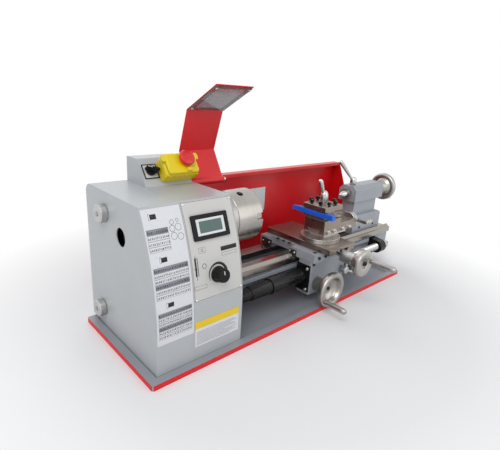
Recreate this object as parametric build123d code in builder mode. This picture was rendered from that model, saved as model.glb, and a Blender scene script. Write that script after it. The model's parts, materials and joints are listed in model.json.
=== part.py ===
"""Bench metal lathe on its own chip tray.

Frame: origin at the centre of the tray's underside, +X along the bed towards the
tailstock, the operator stands at -Y, +Z up. Millimetres.
"""
from build123d import *
import math
import os

os.makedirs("parts", exist_ok=True)

# Chip tray
TRAY_LENGTH = 747
TRAY_WIDTH = 254
TRAY_HEIGHT = 9
TRAY_SHEET = 2
TRAY_BORDER = 16
TRAY_CORNER = 5
FOOT_BOLT_RADIUS = 4.5
FOOT_BOLT_SPACING_Y = 56

# Spindle line and bed
AXIS_Z = 210
WAY_Z = 105
BED_LEFT = -276
BED_RIGHT = 432
BED_HALF_WIDTH = 50
RAIL_DEPTH = 14
FRONT_RAIL_INNER = -12
REAR_RAIL_INNER = 22
VEE_Y = -39.5
VEE_HALF_WIDTH = 6.5
VEE_HEIGHT = 6
WEB_OUTER = 44
WEB_THICKNESS = 12
BED_UNDERSIDE = 40
LIP_HEIGHT = 10
RIB_TOP = 80
RIB_THICKNESS = 8
RIB_INSET_LEFT = 106
RIB_INSET_RIGHT = 52
RIB_COUNT = 6
RIB_FIRST_X = BED_LEFT + RIB_INSET_LEFT
RIB_PITCH = (BED_RIGHT - RIB_INSET_RIGHT - RIB_FIRST_X) / (RIB_COUNT - 1)
LEFT_FOOT_X = -230
RIGHT_FOOT_X = 320
FOOT_LENGTH = 72
FOOT_PLATE = 12
FOOT_WALL = 12
RACK_LEFT = -150
RACK_RIGHT = 330
RACK_HEIGHT = 12
RACK_TOP = 88

# Clearances
SLIDE_GAP = 0.3
RUNNING_GAP = 0.05
PLATE_GAP = 1.2

# Headstock
HEAD_RIGHT = -182
HEAD_SEAM = -286
COVER_LEFT = -356
HEAD_FRONT = -110
HEAD_BACK = 136
HEAD_BASE = 5
HEAD_TOP = 275
FRONT_BEND_Z = 75
FRONT_RADIUS = 432
BACK_RADIUS = 18
HOUSING_SHEET = 2
RIM_NOTCH_Y = 108
RIM_NOTCH_Z = 11
CASTING_LEFT = -276
CASTING_RIGHT = HEAD_RIGHT - HOUSING_SHEET
CASTING_HALF_WIDTH = 52
CAP_RADIUS = 48
CAP_LENGTH = 16
END_PLATE_THICKNESS = 6
PLATE_BACK = 128
PLATE_BASE = 14
PLATE_TOP = 240
COVER_HOLE_RADIUS = 16

# Spindle and chuck
SPINDLE_RADIUS = 17.5
SPINDLE_TAIL_RADIUS = 12.5
SPINDLE_BORE_RADIUS = 9.5
SPINDLE_LEFT = -346
FLANGE_LEFT = -162
FLANGE_RADIUS = 51.5
CHUCK_LEFT = -147
CHUCK_RIGHT = -85
CHUCK_RADIUS = 52.5
CHUCK_BORE_RADIUS = 11
PINION_X = -121
PINION_RADIUS = 6.7
PINION_DEPTH = 20
PINION_ANGLE = 111
KEY_SQUARE = 7
JAW_WIDTH = 13.4
JAW_SLOT_DEPTH = 16
JAW_TIP = 4.4
JAW_STEP = 12
JAW_STEP_HEIGHT = 8
JAW_TAIL = 42
BEARING_RADIUS = 31
BEARING_WIDTH = 16

# Change gears, belt drive and leadscrew
GEAR_MODULE = 2
SPINDLE_TEETH = 20
STUD_TEETH = 52
SCREW_TEETH = 35
ROOT_SHARE = 0.30
TIP_SHARE = 0.12
GEAR_LEFT = -334
GEAR_WIDTH = 12
SCREW_Y = -69
SCREW_Z = 68
SCREW_RADIUS = 10
SCREW_JOURNAL_RADIUS = 8
SCREW_MAIN_LEFT = -269
SCREW_MAIN_RIGHT = 337
SCREW_LEFT = -345
SCREW_RIGHT = 395
SCREW_BRACKET_LEFT = 338
SCREW_BRACKET_RIGHT = 362
MOTOR_Y = 92
MOTOR_Z = 72
MOTOR_RADIUS = 35
MOTOR_LENGTH = 84
MOTOR_SHAFT_RADIUS = 6
MOTOR_PULLEY_RADIUS = 14
SPINDLE_PULLEY_RADIUS = 36
PULLEY_LEFT = -308
PULLEY_WIDTH = 16
BELT_THICKNESS = 3
STUD_RADIUS = 6
STUD_NUT = 7
BANJO_THICKNESS = 5
UPPER_NUT = (58, 237)
LOWER_NUT = (84, 47)
COVER_STUD_RADIUS = 4
COVER_NUT_RADIUS = 16.5
COVER_NUT_LENGTH = 14

# Leadscrew cover: three telescopic tubes
TUBE_LENGTH = 105
TUBE_WALL = 1.5
TUBE_GAP = 0.5
INNER_TUBE_BORE = 11.5
COVER_FLANGE = 2
MIDDLE_TUBE_LEFT = -129

# Controls
SWITCH_BOX_LEFT = -284
SWITCH_BOX_RIGHT = -186
SWITCH_BOX_BACK = 118
SWITCH_BOX_FRONT = 46.6
SWITCH_BOX_EDGE = 80.9
SWITCH_BOX_TOP = 320.8
STOP_X = -216
STOP_WIDTH = 68
STOP_SLOPE_LOW = 6
STOP_SLOPE_LENGTH = 42
STOP_DEPTH = 26
LID_DEPTH = 8
MUSHROOM_RADIUS = 15
MUSHROOM_X = -208
STEM_RADIUS = 6
STOP_TRAVEL = 3
MUSHROOM_UP = 32
SELECTOR_X = -265
SELECTOR_UP = 30
SELECTOR_RADIUS = 9
KNOB_X = -236
KNOB_Z = 153
KNOB_RADIUS = 14
KNOB_LENGTH = 20
KNOB_SHAFT_RADIUS = 3
KNOB_SHAFT_DEPTH = 8
DISPLAY_X = -237.5
DISPLAY_Z = 232
DISPLAY_WIDTH = 73
DISPLAY_HEIGHT = 42
DISPLAY_DEPTH = 4

# Chuck guard
GUARD_LEFT = -178
GUARD_RIGHT = -91
GUARD_SHEET = 1.5
GUARD_PIVOT = (72, 268)
GUARD_ROD_RADIUS = 4
GUARD_TUBE_RADIUS = 7
GUARD_TUBE_LEFT = -178
GUARD_BEND_ONE = (107, 326)
GUARD_BEND_TWO = (80.6, 408.5)
GUARD_END = (-9, 456)
WINDOW_MARGIN = 9
WINDOW_SHEET = 2
WINDOW_CORNER = 4

# Splash guard
SPLASH_LEFT = -180
SPLASH_RIGHT = 373
SPLASH_SHEET = 1.5
SPLASH_FACE = TRAY_WIDTH / 2 - SPLASH_SHEET
SPLASH_TOP = 268
SPLASH_LIP = SPLASH_FACE - 20.5
SPLASH_HEM = 8
SPLASH_WING = SPLASH_FACE - 51.5
SPLASH_WING_Z = 190

# Carriage
SADDLE_LEFT = 29
SADDLE_RIGHT = 163
SADDLE_FRONT = -101
SADDLE_BACK = 66
SADDLE_TOP = 124
SADDLE_SKIRT = 104
SADDLE_RECESS = 15
APRON_LEFT = 32
APRON_RIGHT = 160
APRON_FRONT = -92
APRON_BACK = -57
APRON_BASE = 22
CROSS_X = 94
CROSS_WIDTH = 90
CROSS_FRONT = -124
CROSS_BACK = 66
CROSS_TOP = 138
CROSS_SCREW_Z = 118
DOVETAIL_NECK = 18
DOVETAIL_TOP = 23
DOVETAIL_HEIGHT = 8
BRACKET_RADIUS = 11
BRACKET_NECK_RADIUS = 6
CROSS_SHAFT_RADIUS = 4
CROSS_HOLE_RADIUS = CROSS_SHAFT_RADIUS + RUNNING_GAP
BRACKET_NECK_END = -126
BRACKET_END = -160
DIAL_COLLAR_RADIUS = 15
DIAL_COLLAR_LENGTH = 8
CROSS_DISC_RADIUS = 28.5
CROSS_DISC_LENGTH = 16
GRIP_RADIUS = 6.5
GRIP_PIN_RADIUS = 3
CROSS_GRIP_LENGTH = 58
CROSS_GRIP_ARM = (22, 0)
WHEEL_X = 56
WHEEL_Z = 49
WHEEL_RADIUS = 39.5
WHEEL_BACK = -127.5
WHEEL_FACE = -140
WHEEL_SHAFT_RADIUS = 6
CARRIAGE_GRIP_ARM = (-27, -19)
CARRIAGE_GRIP_LENGTH = 54
LEVER_X = 149
LEVER_Z = 60

# Compound slide and toolpost
COMPOUND_Y = -50
SWIVEL_RADIUS = 45
SWIVEL_Y = -60
SWIVEL_TOP = 148
COMPOUND_LEFT = 81
COMPOUND_BASE_RIGHT = 165
COMPOUND_STEP_X = 140
COMPOUND_RIGHT = 206
COMPOUND_HALF_WIDTH = 29
COMPOUND_BASE_TOP = 152
COMPOUND_STEP_TOP = 172
COMPOUND_TOP = 184
SMALL_DOVETAIL_NECK = 11
SMALL_DOVETAIL_TOP = 16
TOP_DIAL_Y = -54
TOP_DIAL_Z = 162
TOP_DIAL_RADIUS = 20
TOP_DIAL_LEFT = 208
TOP_DIAL_LENGTH = 14
CRANK_REACH = 38
CRANK_PIN_LENGTH = 30
POST_X = 119
POST_Y = -40
POST_SIZE = 64
POST_CORE = 40
POST_SLOT_LOW = 188
POST_SLOT_HIGH = 201
POST_TOP = 213
TOOL_SIZE = 12
TOOL_FRONT = -93
TOOL_BACK = 20

# Tailstock
TAIL_LEFT = 268
TAIL_RIGHT = 398
TAIL_HALF_WIDTH = 32
TAIL_BASE_TOP = 153
NECK_HALF_WIDTH = 19
NECK_LEFT = 282
NECK_RIGHT = 386
BARREL_LEFT = 272
BARREL_RIGHT = 405
BARREL_HALF_WIDTH = 26
BARREL_BOTTOM = 190
BARREL_TOP = 231
BARREL_CHAMFER = 11
QUILL_RADIUS = 13
QUILL_REST = 262
CENTRE_TIP = 236
CENTRE_RADIUS = 8
TAIL_WHEEL_BACK = 444
TAIL_WHEEL_FACE = 454
TAIL_WHEEL_RADIUS = 38.4
TAIL_LEVER_X = 292
TAIL_LEVER_END = (226, 295)


def block(x_span, y_span, z_span, mode=Mode.ADD):
    """A box given by its two limits along each axis."""
    with Locations([tuple(sum(span) / 2 for span in (x_span, y_span, z_span))]):
        Box(x_span[1] - x_span[0], y_span[1] - y_span[0], z_span[1] - z_span[0], mode=mode)


def rod_x(x_span, y, z, radius, mode=Mode.ADD):
    """A round bar along X."""
    with Locations([(sum(x_span) / 2, y, z)]):
        Cylinder(radius, x_span[1] - x_span[0], rotation=(0, 90, 0), mode=mode)


def rod_y(y_span, x, z, radius, mode=Mode.ADD):
    """A round bar along Y."""
    with Locations([(x, sum(y_span) / 2, z)]):
        Cylinder(radius, y_span[1] - y_span[0], rotation=(90, 0, 0), mode=mode)


def rod_z(z_span, x, y, radius, mode=Mode.ADD):
    """A round bar along Z."""
    with Locations([(x, y, sum(z_span) / 2)]):
        Cylinder(radius, z_span[1] - z_span[0], mode=mode)


def turned_x(y, z):
    """Sketch plane through an axis along X: local x is X, local y is the radius."""
    return Plane(origin=(0, y, z), x_dir=(1, 0, 0), z_dir=(0, -1, 0))


def turned_y(x, z):
    """Sketch plane through an axis along Y: local x is Y, local y is the radius."""
    return Plane(origin=(x, 0, z), x_dir=(0, 1, 0), z_dir=(1, 0, 0))


def radial_plane(angle):
    """Plane through the spindle axis: local x is X, local y is the radius at that angle."""
    turn = math.radians(angle)
    return Plane(origin=(0, 0, AXIS_Z), x_dir=(1, 0, 0), z_dir=(0, -math.sin(turn), math.cos(turn)))


def bore_plane(angle, radius):
    """Plane square to a radius of the spindle: local x is X, normal pointing outwards."""
    turn = math.radians(angle)
    outward = (0, math.cos(turn), math.sin(turn))
    origin = (0, radius * outward[1], AXIS_Z + radius * outward[2])
    return Plane(origin=origin, x_dir=(1, 0, 0), z_dir=outward)


def front_y(z):
    """Depth of the headstock's front face at a height."""
    rise = max(z - FRONT_BEND_Z, 0)
    return HEAD_FRONT + FRONT_RADIUS - math.sqrt(FRONT_RADIUS**2 - rise**2)


def front_plane(x, z):
    """Plane tangent to the headstock's curved front, its normal pointing at the operator."""
    lean = math.asin(max(z - FRONT_BEND_Z, 0) / FRONT_RADIUS)
    return Plane(origin=(x, front_y(z), z), x_dir=(1, 0, 0), z_dir=(0, -math.cos(lean), math.sin(lean)))


SLOPE_RUN = SWITCH_BOX_EDGE - SWITCH_BOX_FRONT
SLOPE_RISE = SWITCH_BOX_TOP - HEAD_TOP
SLOPE_LENGTH = math.hypot(SLOPE_RUN, SLOPE_RISE)
SLOPE_NORMAL = Axis((0, 0, 0), (0, -SLOPE_RISE, SLOPE_RUN))


def slope_plane(x, up, out=0.0):
    """Plane on the switch box's sloping front, a distance up the slope and out of it."""
    along = (SLOPE_RUN / SLOPE_LENGTH, SLOPE_RISE / SLOPE_LENGTH)
    normal = (-along[1], along[0])
    origin = (
        x,
        SWITCH_BOX_FRONT + up * along[0] + out * normal[0],
        HEAD_TOP + up * along[1] + out * normal[1],
    )
    return Plane(origin=origin, x_dir=(1, 0, 0), z_dir=(0, normal[0], normal[1]))


def head_outline(inset):
    """Side outline of the headstock covers, set in from the outside by a wall."""
    front_top = front_y(HEAD_TOP)
    middle_z = (FRONT_BEND_Z + HEAD_TOP) / 2
    corner = BACK_RADIUS * (1 - math.sqrt(0.5))
    with BuildSketch() as outline:
        with BuildLine():
            Line((HEAD_FRONT, HEAD_BASE), (HEAD_FRONT, FRONT_BEND_Z))
            ThreePointArc((HEAD_FRONT, FRONT_BEND_Z), (front_y(middle_z), middle_z), (front_top, HEAD_TOP))
            Line((front_top, HEAD_TOP), (HEAD_BACK - BACK_RADIUS, HEAD_TOP))
            ThreePointArc(
                (HEAD_BACK - BACK_RADIUS, HEAD_TOP),
                (HEAD_BACK - corner, HEAD_TOP - corner),
                (HEAD_BACK, HEAD_TOP - BACK_RADIUS),
            )
            Line((HEAD_BACK, HEAD_TOP - BACK_RADIUS), (HEAD_BACK, HEAD_BASE))
            Line((HEAD_BACK, HEAD_BASE), (HEAD_FRONT, HEAD_BASE))
        make_face()
        if inset:
            offset(amount=-inset, kind=Kind.INTERSECTION)
    return outline.sketch_local


def strip(points, thickness):
    """Closed outline of a bent sheet: its points and the same points moved to the left."""
    moved = []
    for index, point in enumerate(points):
        normals = []
        for start in (index - 1, index):
            if 0 <= start < len(points) - 1:
                run = (points[start + 1][0] - points[start][0], points[start + 1][1] - points[start][1])
                length = math.hypot(*run)
                normals.append((-run[1] / length, run[0] / length))
        total = (sum(n[0] for n in normals), sum(n[1] for n in normals))
        scale = thickness * len(normals) / (total[0] ** 2 + total[1] ** 2)
        moved.append((point[0] + total[0] * scale, point[1] + total[1] * scale))
    return list(points) + moved[::-1]


def pitch_radius(teeth):
    """Pitch radius of a spur gear."""
    return GEAR_MODULE * teeth / 2


def gear_points(teeth, centre, phase):
    """Tooth outline: straight flanks from root to tip, one tooth centred at the phase angle."""
    root = pitch_radius(teeth) - 1.2 * GEAR_MODULE
    tip = pitch_radius(teeth) + 0.85 * GEAR_MODULE
    pitch = 360 / teeth
    points = []
    for tooth in range(teeth):
        middle = phase + tooth * pitch
        for radius, share in ((root, -ROOT_SHARE), (tip, -TIP_SHARE), (tip, TIP_SHARE), (root, ROOT_SHARE)):
            angle = math.radians(middle + share * pitch)
            points.append((centre[0] + radius * math.cos(angle), centre[1] + radius * math.sin(angle)))
    return points


def meshed_phase(teeth, phase, line_angle, next_teeth):
    """Phase of the next gear so that its gap meets the first gear's tooth on the centre line."""
    share = (line_angle - phase) * teeth / 360
    return line_angle + 180 + (share + 0.5) * 360 / next_teeth


# Gear centres: the idler on its stud meshes with the spindle gear and the screw gear
SPINDLE_CENTRE = (0, AXIS_Z)
SCREW_CENTRE = (SCREW_Y, SCREW_Z)
CENTRE_SPAN = math.dist(SPINDLE_CENTRE, SCREW_CENTRE)
REACH_ONE = pitch_radius(SPINDLE_TEETH) + pitch_radius(STUD_TEETH)
REACH_TWO = pitch_radius(STUD_TEETH) + pitch_radius(SCREW_TEETH)
STUD_ALONG = (REACH_ONE**2 - REACH_TWO**2 + CENTRE_SPAN**2) / (2 * CENTRE_SPAN)
STUD_ASIDE = math.sqrt(REACH_ONE**2 - STUD_ALONG**2)
SPAN_UNIT = ((SCREW_Y - 0) / CENTRE_SPAN, (SCREW_Z - AXIS_Z) / CENTRE_SPAN)
STUD_CENTRE = (
    STUD_ALONG * SPAN_UNIT[0] - STUD_ASIDE * SPAN_UNIT[1],
    AXIS_Z + STUD_ALONG * SPAN_UNIT[1] + STUD_ASIDE * SPAN_UNIT[0],
)
LINE_ONE = math.degrees(math.atan2(STUD_CENTRE[1] - AXIS_Z, STUD_CENTRE[0]))
LINE_TWO = math.degrees(math.atan2(SCREW_Z - STUD_CENTRE[1], SCREW_Y - STUD_CENTRE[0]))
SPINDLE_PHASE = LINE_ONE
STUD_PHASE = meshed_phase(SPINDLE_TEETH, SPINDLE_PHASE, LINE_ONE, STUD_TEETH)
SCREW_PHASE = meshed_phase(STUD_TEETH, STUD_PHASE, LINE_TWO, SCREW_TEETH)

# Derived heights and depths
END_PLATE_LEFT = CASTING_LEFT - END_PLATE_THICKNESS
BED_GAP_TOP = WAY_Z + VEE_HEIGHT + 1
STUD_COLLAR_LEFT = GEAR_LEFT + GEAR_WIDTH + SLIDE_GAP
FOOT_X = (LEFT_FOOT_X, RIGHT_FOOT_X)
JAW_LEFT = CHUCK_RIGHT - JAW_SLOT_DEPTH
INNER_TUBE_RADIUS = INNER_TUBE_BORE + TUBE_WALL
MIDDLE_TUBE_BORE = INNER_TUBE_RADIUS + TUBE_GAP
MIDDLE_TUBE_RADIUS = MIDDLE_TUBE_BORE + TUBE_WALL
OUTER_TUBE_BORE = MIDDLE_TUBE_RADIUS + TUBE_GAP
OUTER_TUBE_RADIUS = OUTER_TUBE_BORE + TUBE_WALL
POST_HALF = POST_SIZE / 2
SMALL_GROOVE_TOP = COMPOUND_BASE_TOP + DOVETAIL_HEIGHT + SLIDE_GAP
TOOL_LEFT = POST_X - POST_HALF - 1

# Chip tray: a pressed pan with a raised border and a turned-down edge
with BuildPart() as chip_tray:
    block((-TRAY_LENGTH / 2, TRAY_LENGTH / 2), (-TRAY_WIDTH / 2, TRAY_WIDTH / 2), (0, TRAY_HEIGHT))
    fillet(chip_tray.edges().filter_by(Axis.Z), radius=TRAY_CORNER)
    with BuildSketch(Plane.XY.offset(TRAY_SHEET)):
        Rectangle(TRAY_LENGTH - 2 * TRAY_BORDER, TRAY_WIDTH - 2 * TRAY_BORDER)
    extrude(amount=TRAY_HEIGHT, mode=Mode.SUBTRACT)
    with BuildSketch(Plane.XY):
        Rectangle(TRAY_LENGTH - 2 * TRAY_SHEET, TRAY_WIDTH - 2 * TRAY_SHEET)
        Rectangle(
            TRAY_LENGTH - 2 * TRAY_BORDER + 2 * TRAY_SHEET,
            TRAY_WIDTH - 2 * TRAY_BORDER + 2 * TRAY_SHEET,
            mode=Mode.SUBTRACT,
        )
    extrude(amount=TRAY_HEIGHT - TRAY_SHEET, mode=Mode.SUBTRACT)
    with BuildSketch(Plane.XY):
        for foot in FOOT_X:
            with Locations((foot, -FOOT_BOLT_SPACING_Y / 2), (foot, FOOT_BOLT_SPACING_Y / 2)):
                Circle(FOOT_BOLT_RADIUS)
    extrude(amount=TRAY_SHEET, mode=Mode.SUBTRACT)

# Bed: two rails on webs, cross ribs between them and a hollow foot at each end
with BuildPart() as bed:
    with BuildSketch(Plane.YZ.offset(BED_LEFT)):
        Polygon(
            (-BED_HALF_WIDTH, WAY_Z - RAIL_DEPTH),
            (-BED_HALF_WIDTH, WAY_Z),
            (VEE_Y - VEE_HALF_WIDTH, WAY_Z),
            (VEE_Y, WAY_Z + VEE_HEIGHT),
            (VEE_Y + VEE_HALF_WIDTH, WAY_Z),
            (FRONT_RAIL_INNER, WAY_Z),
            (FRONT_RAIL_INNER, WAY_Z - RAIL_DEPTH),
            align=None,
        )
        Polygon(
            (REAR_RAIL_INNER, WAY_Z - RAIL_DEPTH),
            (REAR_RAIL_INNER, WAY_Z),
            (BED_HALF_WIDTH, WAY_Z),
            (BED_HALF_WIDTH, WAY_Z - RAIL_DEPTH),
            align=None,
        )
        for side in (-1, 1):
            Polygon(
                (side * WEB_OUTER, WAY_Z - RAIL_DEPTH),
                (side * WEB_OUTER, BED_UNDERSIDE + LIP_HEIGHT),
                (side * BED_HALF_WIDTH, BED_UNDERSIDE + LIP_HEIGHT - 4),
                (side * BED_HALF_WIDTH, BED_UNDERSIDE),
                (side * (WEB_OUTER - WEB_THICKNESS), BED_UNDERSIDE),
                (side * (WEB_OUTER - WEB_THICKNESS), WAY_Z - RAIL_DEPTH),
                align=None,
            )
    extrude(amount=BED_RIGHT - BED_LEFT)
    for index in range(RIB_COUNT):
        rib_x = RIB_FIRST_X + index * RIB_PITCH
        inner = WEB_OUTER - WEB_THICKNESS
        block((rib_x, rib_x + RIB_THICKNESS), (-inner, inner), (BED_UNDERSIDE, RIB_TOP))
    for foot in FOOT_X:
        span = (foot - FOOT_LENGTH / 2, foot + FOOT_LENGTH / 2)
        inside = (span[0] + FOOT_WALL, span[1] - FOOT_WALL)
        block(span, (-BED_HALF_WIDTH, BED_HALF_WIDTH), (TRAY_SHEET, BED_UNDERSIDE + LIP_HEIGHT - 4))
        block(
            inside,
            (FOOT_WALL - BED_HALF_WIDTH, BED_HALF_WIDTH - FOOT_WALL),
            (TRAY_SHEET + FOOT_PLATE, BED_UNDERSIDE + LIP_HEIGHT),
            Mode.SUBTRACT,
        )
        for side in (-1, 1):
            rod_z(
                (TRAY_SHEET, TRAY_SHEET + FOOT_PLATE),
                foot,
                side * FOOT_BOLT_SPACING_Y / 2,
                FOOT_BOLT_RADIUS,
                Mode.SUBTRACT,
            )

# Rack: bar on the front web that the carriage pinion runs on
with BuildPart() as rack:
    block((RACK_LEFT, RACK_RIGHT), (-BED_HALF_WIDTH, -WEB_OUTER), (RACK_TOP - RACK_HEIGHT, RACK_TOP))

# Leadscrew bracket on the bed's front web
with BuildPart() as leadscrew_bracket:
    with BuildSketch(Plane.YZ.offset(SCREW_BRACKET_LEFT)):
        with Locations((SCREW_Y, SCREW_Z)):
            Circle(SCREW_RADIUS + 7)
        Polygon(
            (SCREW_Y, SCREW_Z + SCREW_RADIUS + 7),
            (-WEB_OUTER, WAY_Z - RAIL_DEPTH - 3),
            (-WEB_OUTER, BED_UNDERSIDE + LIP_HEIGHT),
            (SCREW_Y, SCREW_Z - SCREW_RADIUS - 7),
            align=None,
        )
    extrude(amount=SCREW_BRACKET_RIGHT - SCREW_BRACKET_LEFT)
    rod_x(
        (SCREW_BRACKET_LEFT, SCREW_BRACKET_RIGHT),
        SCREW_Y,
        SCREW_Z,
        SCREW_JOURNAL_RADIUS + RUNNING_GAP,
        Mode.SUBTRACT,
    )

# Headstock casting: bearing box over the ways with a front bearing cap
with BuildPart() as headstock_casting:
    with BuildSketch(Plane.YZ.offset(CASTING_LEFT)):
        with Locations((0, (AXIS_Z + WAY_Z) / 2)):
            Rectangle(2 * CASTING_HALF_WIDTH, AXIS_Z - WAY_Z)
        with Locations((0, AXIS_Z)):
            Circle(CASTING_HALF_WIDTH)
        Polygon(
            (VEE_Y - VEE_HALF_WIDTH - 1, WAY_Z),
            (VEE_Y, WAY_Z + VEE_HEIGHT + 1),
            (VEE_Y + VEE_HALF_WIDTH + 1, WAY_Z),
            align=None,
            mode=Mode.SUBTRACT,
        )
    extrude(amount=CASTING_RIGHT - CASTING_LEFT)
    rod_x((CASTING_RIGHT, CASTING_RIGHT + CAP_LENGTH), 0, AXIS_Z, CAP_RADIUS)
    rod_x((CASTING_LEFT, CASTING_LEFT + BEARING_WIDTH), 0, AXIS_Z, BEARING_RADIUS, Mode.SUBTRACT)
    rod_x((CASTING_RIGHT - BEARING_WIDTH, CASTING_RIGHT), 0, AXIS_Z, BEARING_RADIUS, Mode.SUBTRACT)
    rod_x((CASTING_LEFT, CASTING_RIGHT + CAP_LENGTH), 0, AXIS_Z, SPINDLE_RADIUS + 2, Mode.SUBTRACT)

# Spindle bearings: one at each end of the casting
with BuildPart() as spindle_bearings:
    for left in (CASTING_LEFT, CASTING_RIGHT - BEARING_WIDTH):
        rod_x((left, left + BEARING_WIDTH), 0, AXIS_Z, BEARING_RADIUS)
    rod_x((CASTING_LEFT - 1, CASTING_RIGHT + 1), 0, AXIS_Z, SPINDLE_RADIUS + RUNNING_GAP, Mode.SUBTRACT)

# Headstock housing: folded sheet round the casting, open towards the end cover
with BuildPart() as headstock_housing:
    with BuildSketch(Plane.YZ.offset(HEAD_SEAM)):
        add(head_outline(0))
    extrude(amount=HEAD_RIGHT - HEAD_SEAM)
    with BuildSketch(Plane.YZ.offset(HEAD_SEAM)):
        add(head_outline(HOUSING_SHEET))
    extrude(amount=HEAD_RIGHT - HEAD_SEAM - HOUSING_SHEET, mode=Mode.SUBTRACT)
    block(
        (HEAD_SEAM, HEAD_RIGHT - HOUSING_SHEET),
        (HEAD_FRONT + HOUSING_SHEET, HEAD_BACK - HOUSING_SHEET),
        (HEAD_BASE, HEAD_BASE + HOUSING_SHEET),
        Mode.SUBTRACT,
    )
    block((HEAD_SEAM, HEAD_RIGHT), (RIM_NOTCH_Y, HEAD_BACK), (HEAD_BASE, RIM_NOTCH_Z), Mode.SUBTRACT)
    with BuildSketch(Plane.YZ.offset(HEAD_RIGHT - HOUSING_SHEET)):
        with Locations((0, (BED_GAP_TOP + HEAD_BASE) / 2)):
            Rectangle(2 * BED_HALF_WIDTH, BED_GAP_TOP - HEAD_BASE)
        with Locations((0, AXIS_Z)):
            Circle(CAP_RADIUS)
        with Locations((SCREW_Y, SCREW_Z)):
            Circle(INNER_TUBE_BORE)
        with Locations(GUARD_PIVOT):
            Circle(GUARD_ROD_RADIUS)
    extrude(amount=HOUSING_SHEET, mode=Mode.SUBTRACT)
    with BuildSketch(front_plane(KNOB_X, KNOB_Z).offset(-2 * HOUSING_SHEET)):
        Circle(KNOB_SHAFT_RADIUS + RUNNING_GAP)
    extrude(amount=3 * HOUSING_SHEET, mode=Mode.SUBTRACT)

# End plate: closes the casting's left end, carries the motor, the banjo and the cover studs
with BuildPart() as end_plate:
    with BuildSketch(Plane.YZ.offset(END_PLATE_LEFT)):
        Polygon(
            (HEAD_FRONT + 10, PLATE_BASE),
            (PLATE_BACK, PLATE_BASE),
            (PLATE_BACK, PLATE_TOP),
            (front_y(PLATE_TOP) + 12, PLATE_TOP),
            (HEAD_FRONT + 10, FRONT_BEND_Z + 50),
            align=None,
        )
        with Locations((0, AXIS_Z)):
            Circle(SPINDLE_RADIUS + 3, mode=Mode.SUBTRACT)
        with Locations((MOTOR_Y, MOTOR_Z)):
            Circle(MOTOR_SHAFT_RADIUS + 4, mode=Mode.SUBTRACT)
    extrude(amount=END_PLATE_THICKNESS)
    rod_x((END_PLATE_LEFT, SCREW_MAIN_LEFT - SLIDE_GAP), SCREW_Y, SCREW_Z, SCREW_JOURNAL_RADIUS + 6)
    rod_x(
        (END_PLATE_LEFT, SCREW_MAIN_LEFT),
        SCREW_Y,
        SCREW_Z,
        SCREW_JOURNAL_RADIUS + RUNNING_GAP,
        Mode.SUBTRACT,
    )
    for nut in (UPPER_NUT, LOWER_NUT):
        rod_x((COVER_LEFT - COVER_NUT_LENGTH - 1, END_PLATE_LEFT), nut[0], nut[1], COVER_STUD_RADIUS)

# End cover: the box over the change gears
with BuildPart() as end_cover:
    with BuildSketch(Plane.YZ.offset(COVER_LEFT)):
        add(head_outline(0))
    extrude(amount=HEAD_SEAM - COVER_LEFT)
    with BuildSketch(Plane.YZ.offset(COVER_LEFT + HOUSING_SHEET)):
        add(head_outline(HOUSING_SHEET))
    extrude(amount=HEAD_SEAM - COVER_LEFT - HOUSING_SHEET, mode=Mode.SUBTRACT)
    block((COVER_LEFT, HEAD_SEAM), (RIM_NOTCH_Y, HEAD_BACK), (HEAD_BASE, RIM_NOTCH_Z), Mode.SUBTRACT)
    rod_x((COVER_LEFT, COVER_LEFT + HOUSING_SHEET), 0, AXIS_Z, COVER_HOLE_RADIUS, Mode.SUBTRACT)
    for nut in (UPPER_NUT, LOWER_NUT):
        rod_x(
            (COVER_LEFT, COVER_LEFT + HOUSING_SHEET),
            nut[0],
            nut[1],
            COVER_STUD_RADIUS + SLIDE_GAP,
            Mode.SUBTRACT,
        )

# Thumb nuts that hold the end cover
with BuildPart() as cover_nuts:
    for nut in (UPPER_NUT, LOWER_NUT):
        with BuildSketch(turned_x(*nut)):
            Polygon(
                (COVER_LEFT, COVER_STUD_RADIUS),
                (COVER_LEFT, COVER_NUT_RADIUS - 2),
                (COVER_LEFT - 2, COVER_NUT_RADIUS),
                (COVER_LEFT - COVER_NUT_LENGTH + 1, COVER_NUT_RADIUS),
                (COVER_LEFT - COVER_NUT_LENGTH, COVER_NUT_RADIUS - 1),
                (COVER_LEFT - COVER_NUT_LENGTH, COVER_STUD_RADIUS),
                align=None,
            )
        revolve(axis=Axis((0, *nut), (1, 0, 0)))

# Display bezel on the curved front
with BuildPart() as display_bezel:
    with BuildSketch(front_plane(DISPLAY_X, DISPLAY_Z).offset(-1)):
        RectangleRounded(DISPLAY_WIDTH, DISPLAY_HEIGHT, 3)
    extrude(amount=DISPLAY_DEPTH + 1)
    with BuildSketch(front_plane(DISPLAY_X, DISPLAY_Z).offset(DISPLAY_DEPTH - 2)):
        Rectangle(DISPLAY_WIDTH - 16, DISPLAY_HEIGHT - 14)
    extrude(amount=2, mode=Mode.SUBTRACT)
    with BuildSketch(Plane.YZ.offset(HEAD_SEAM)):
        add(head_outline(0))
    extrude(amount=HEAD_RIGHT - HEAD_SEAM, mode=Mode.SUBTRACT)

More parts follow.
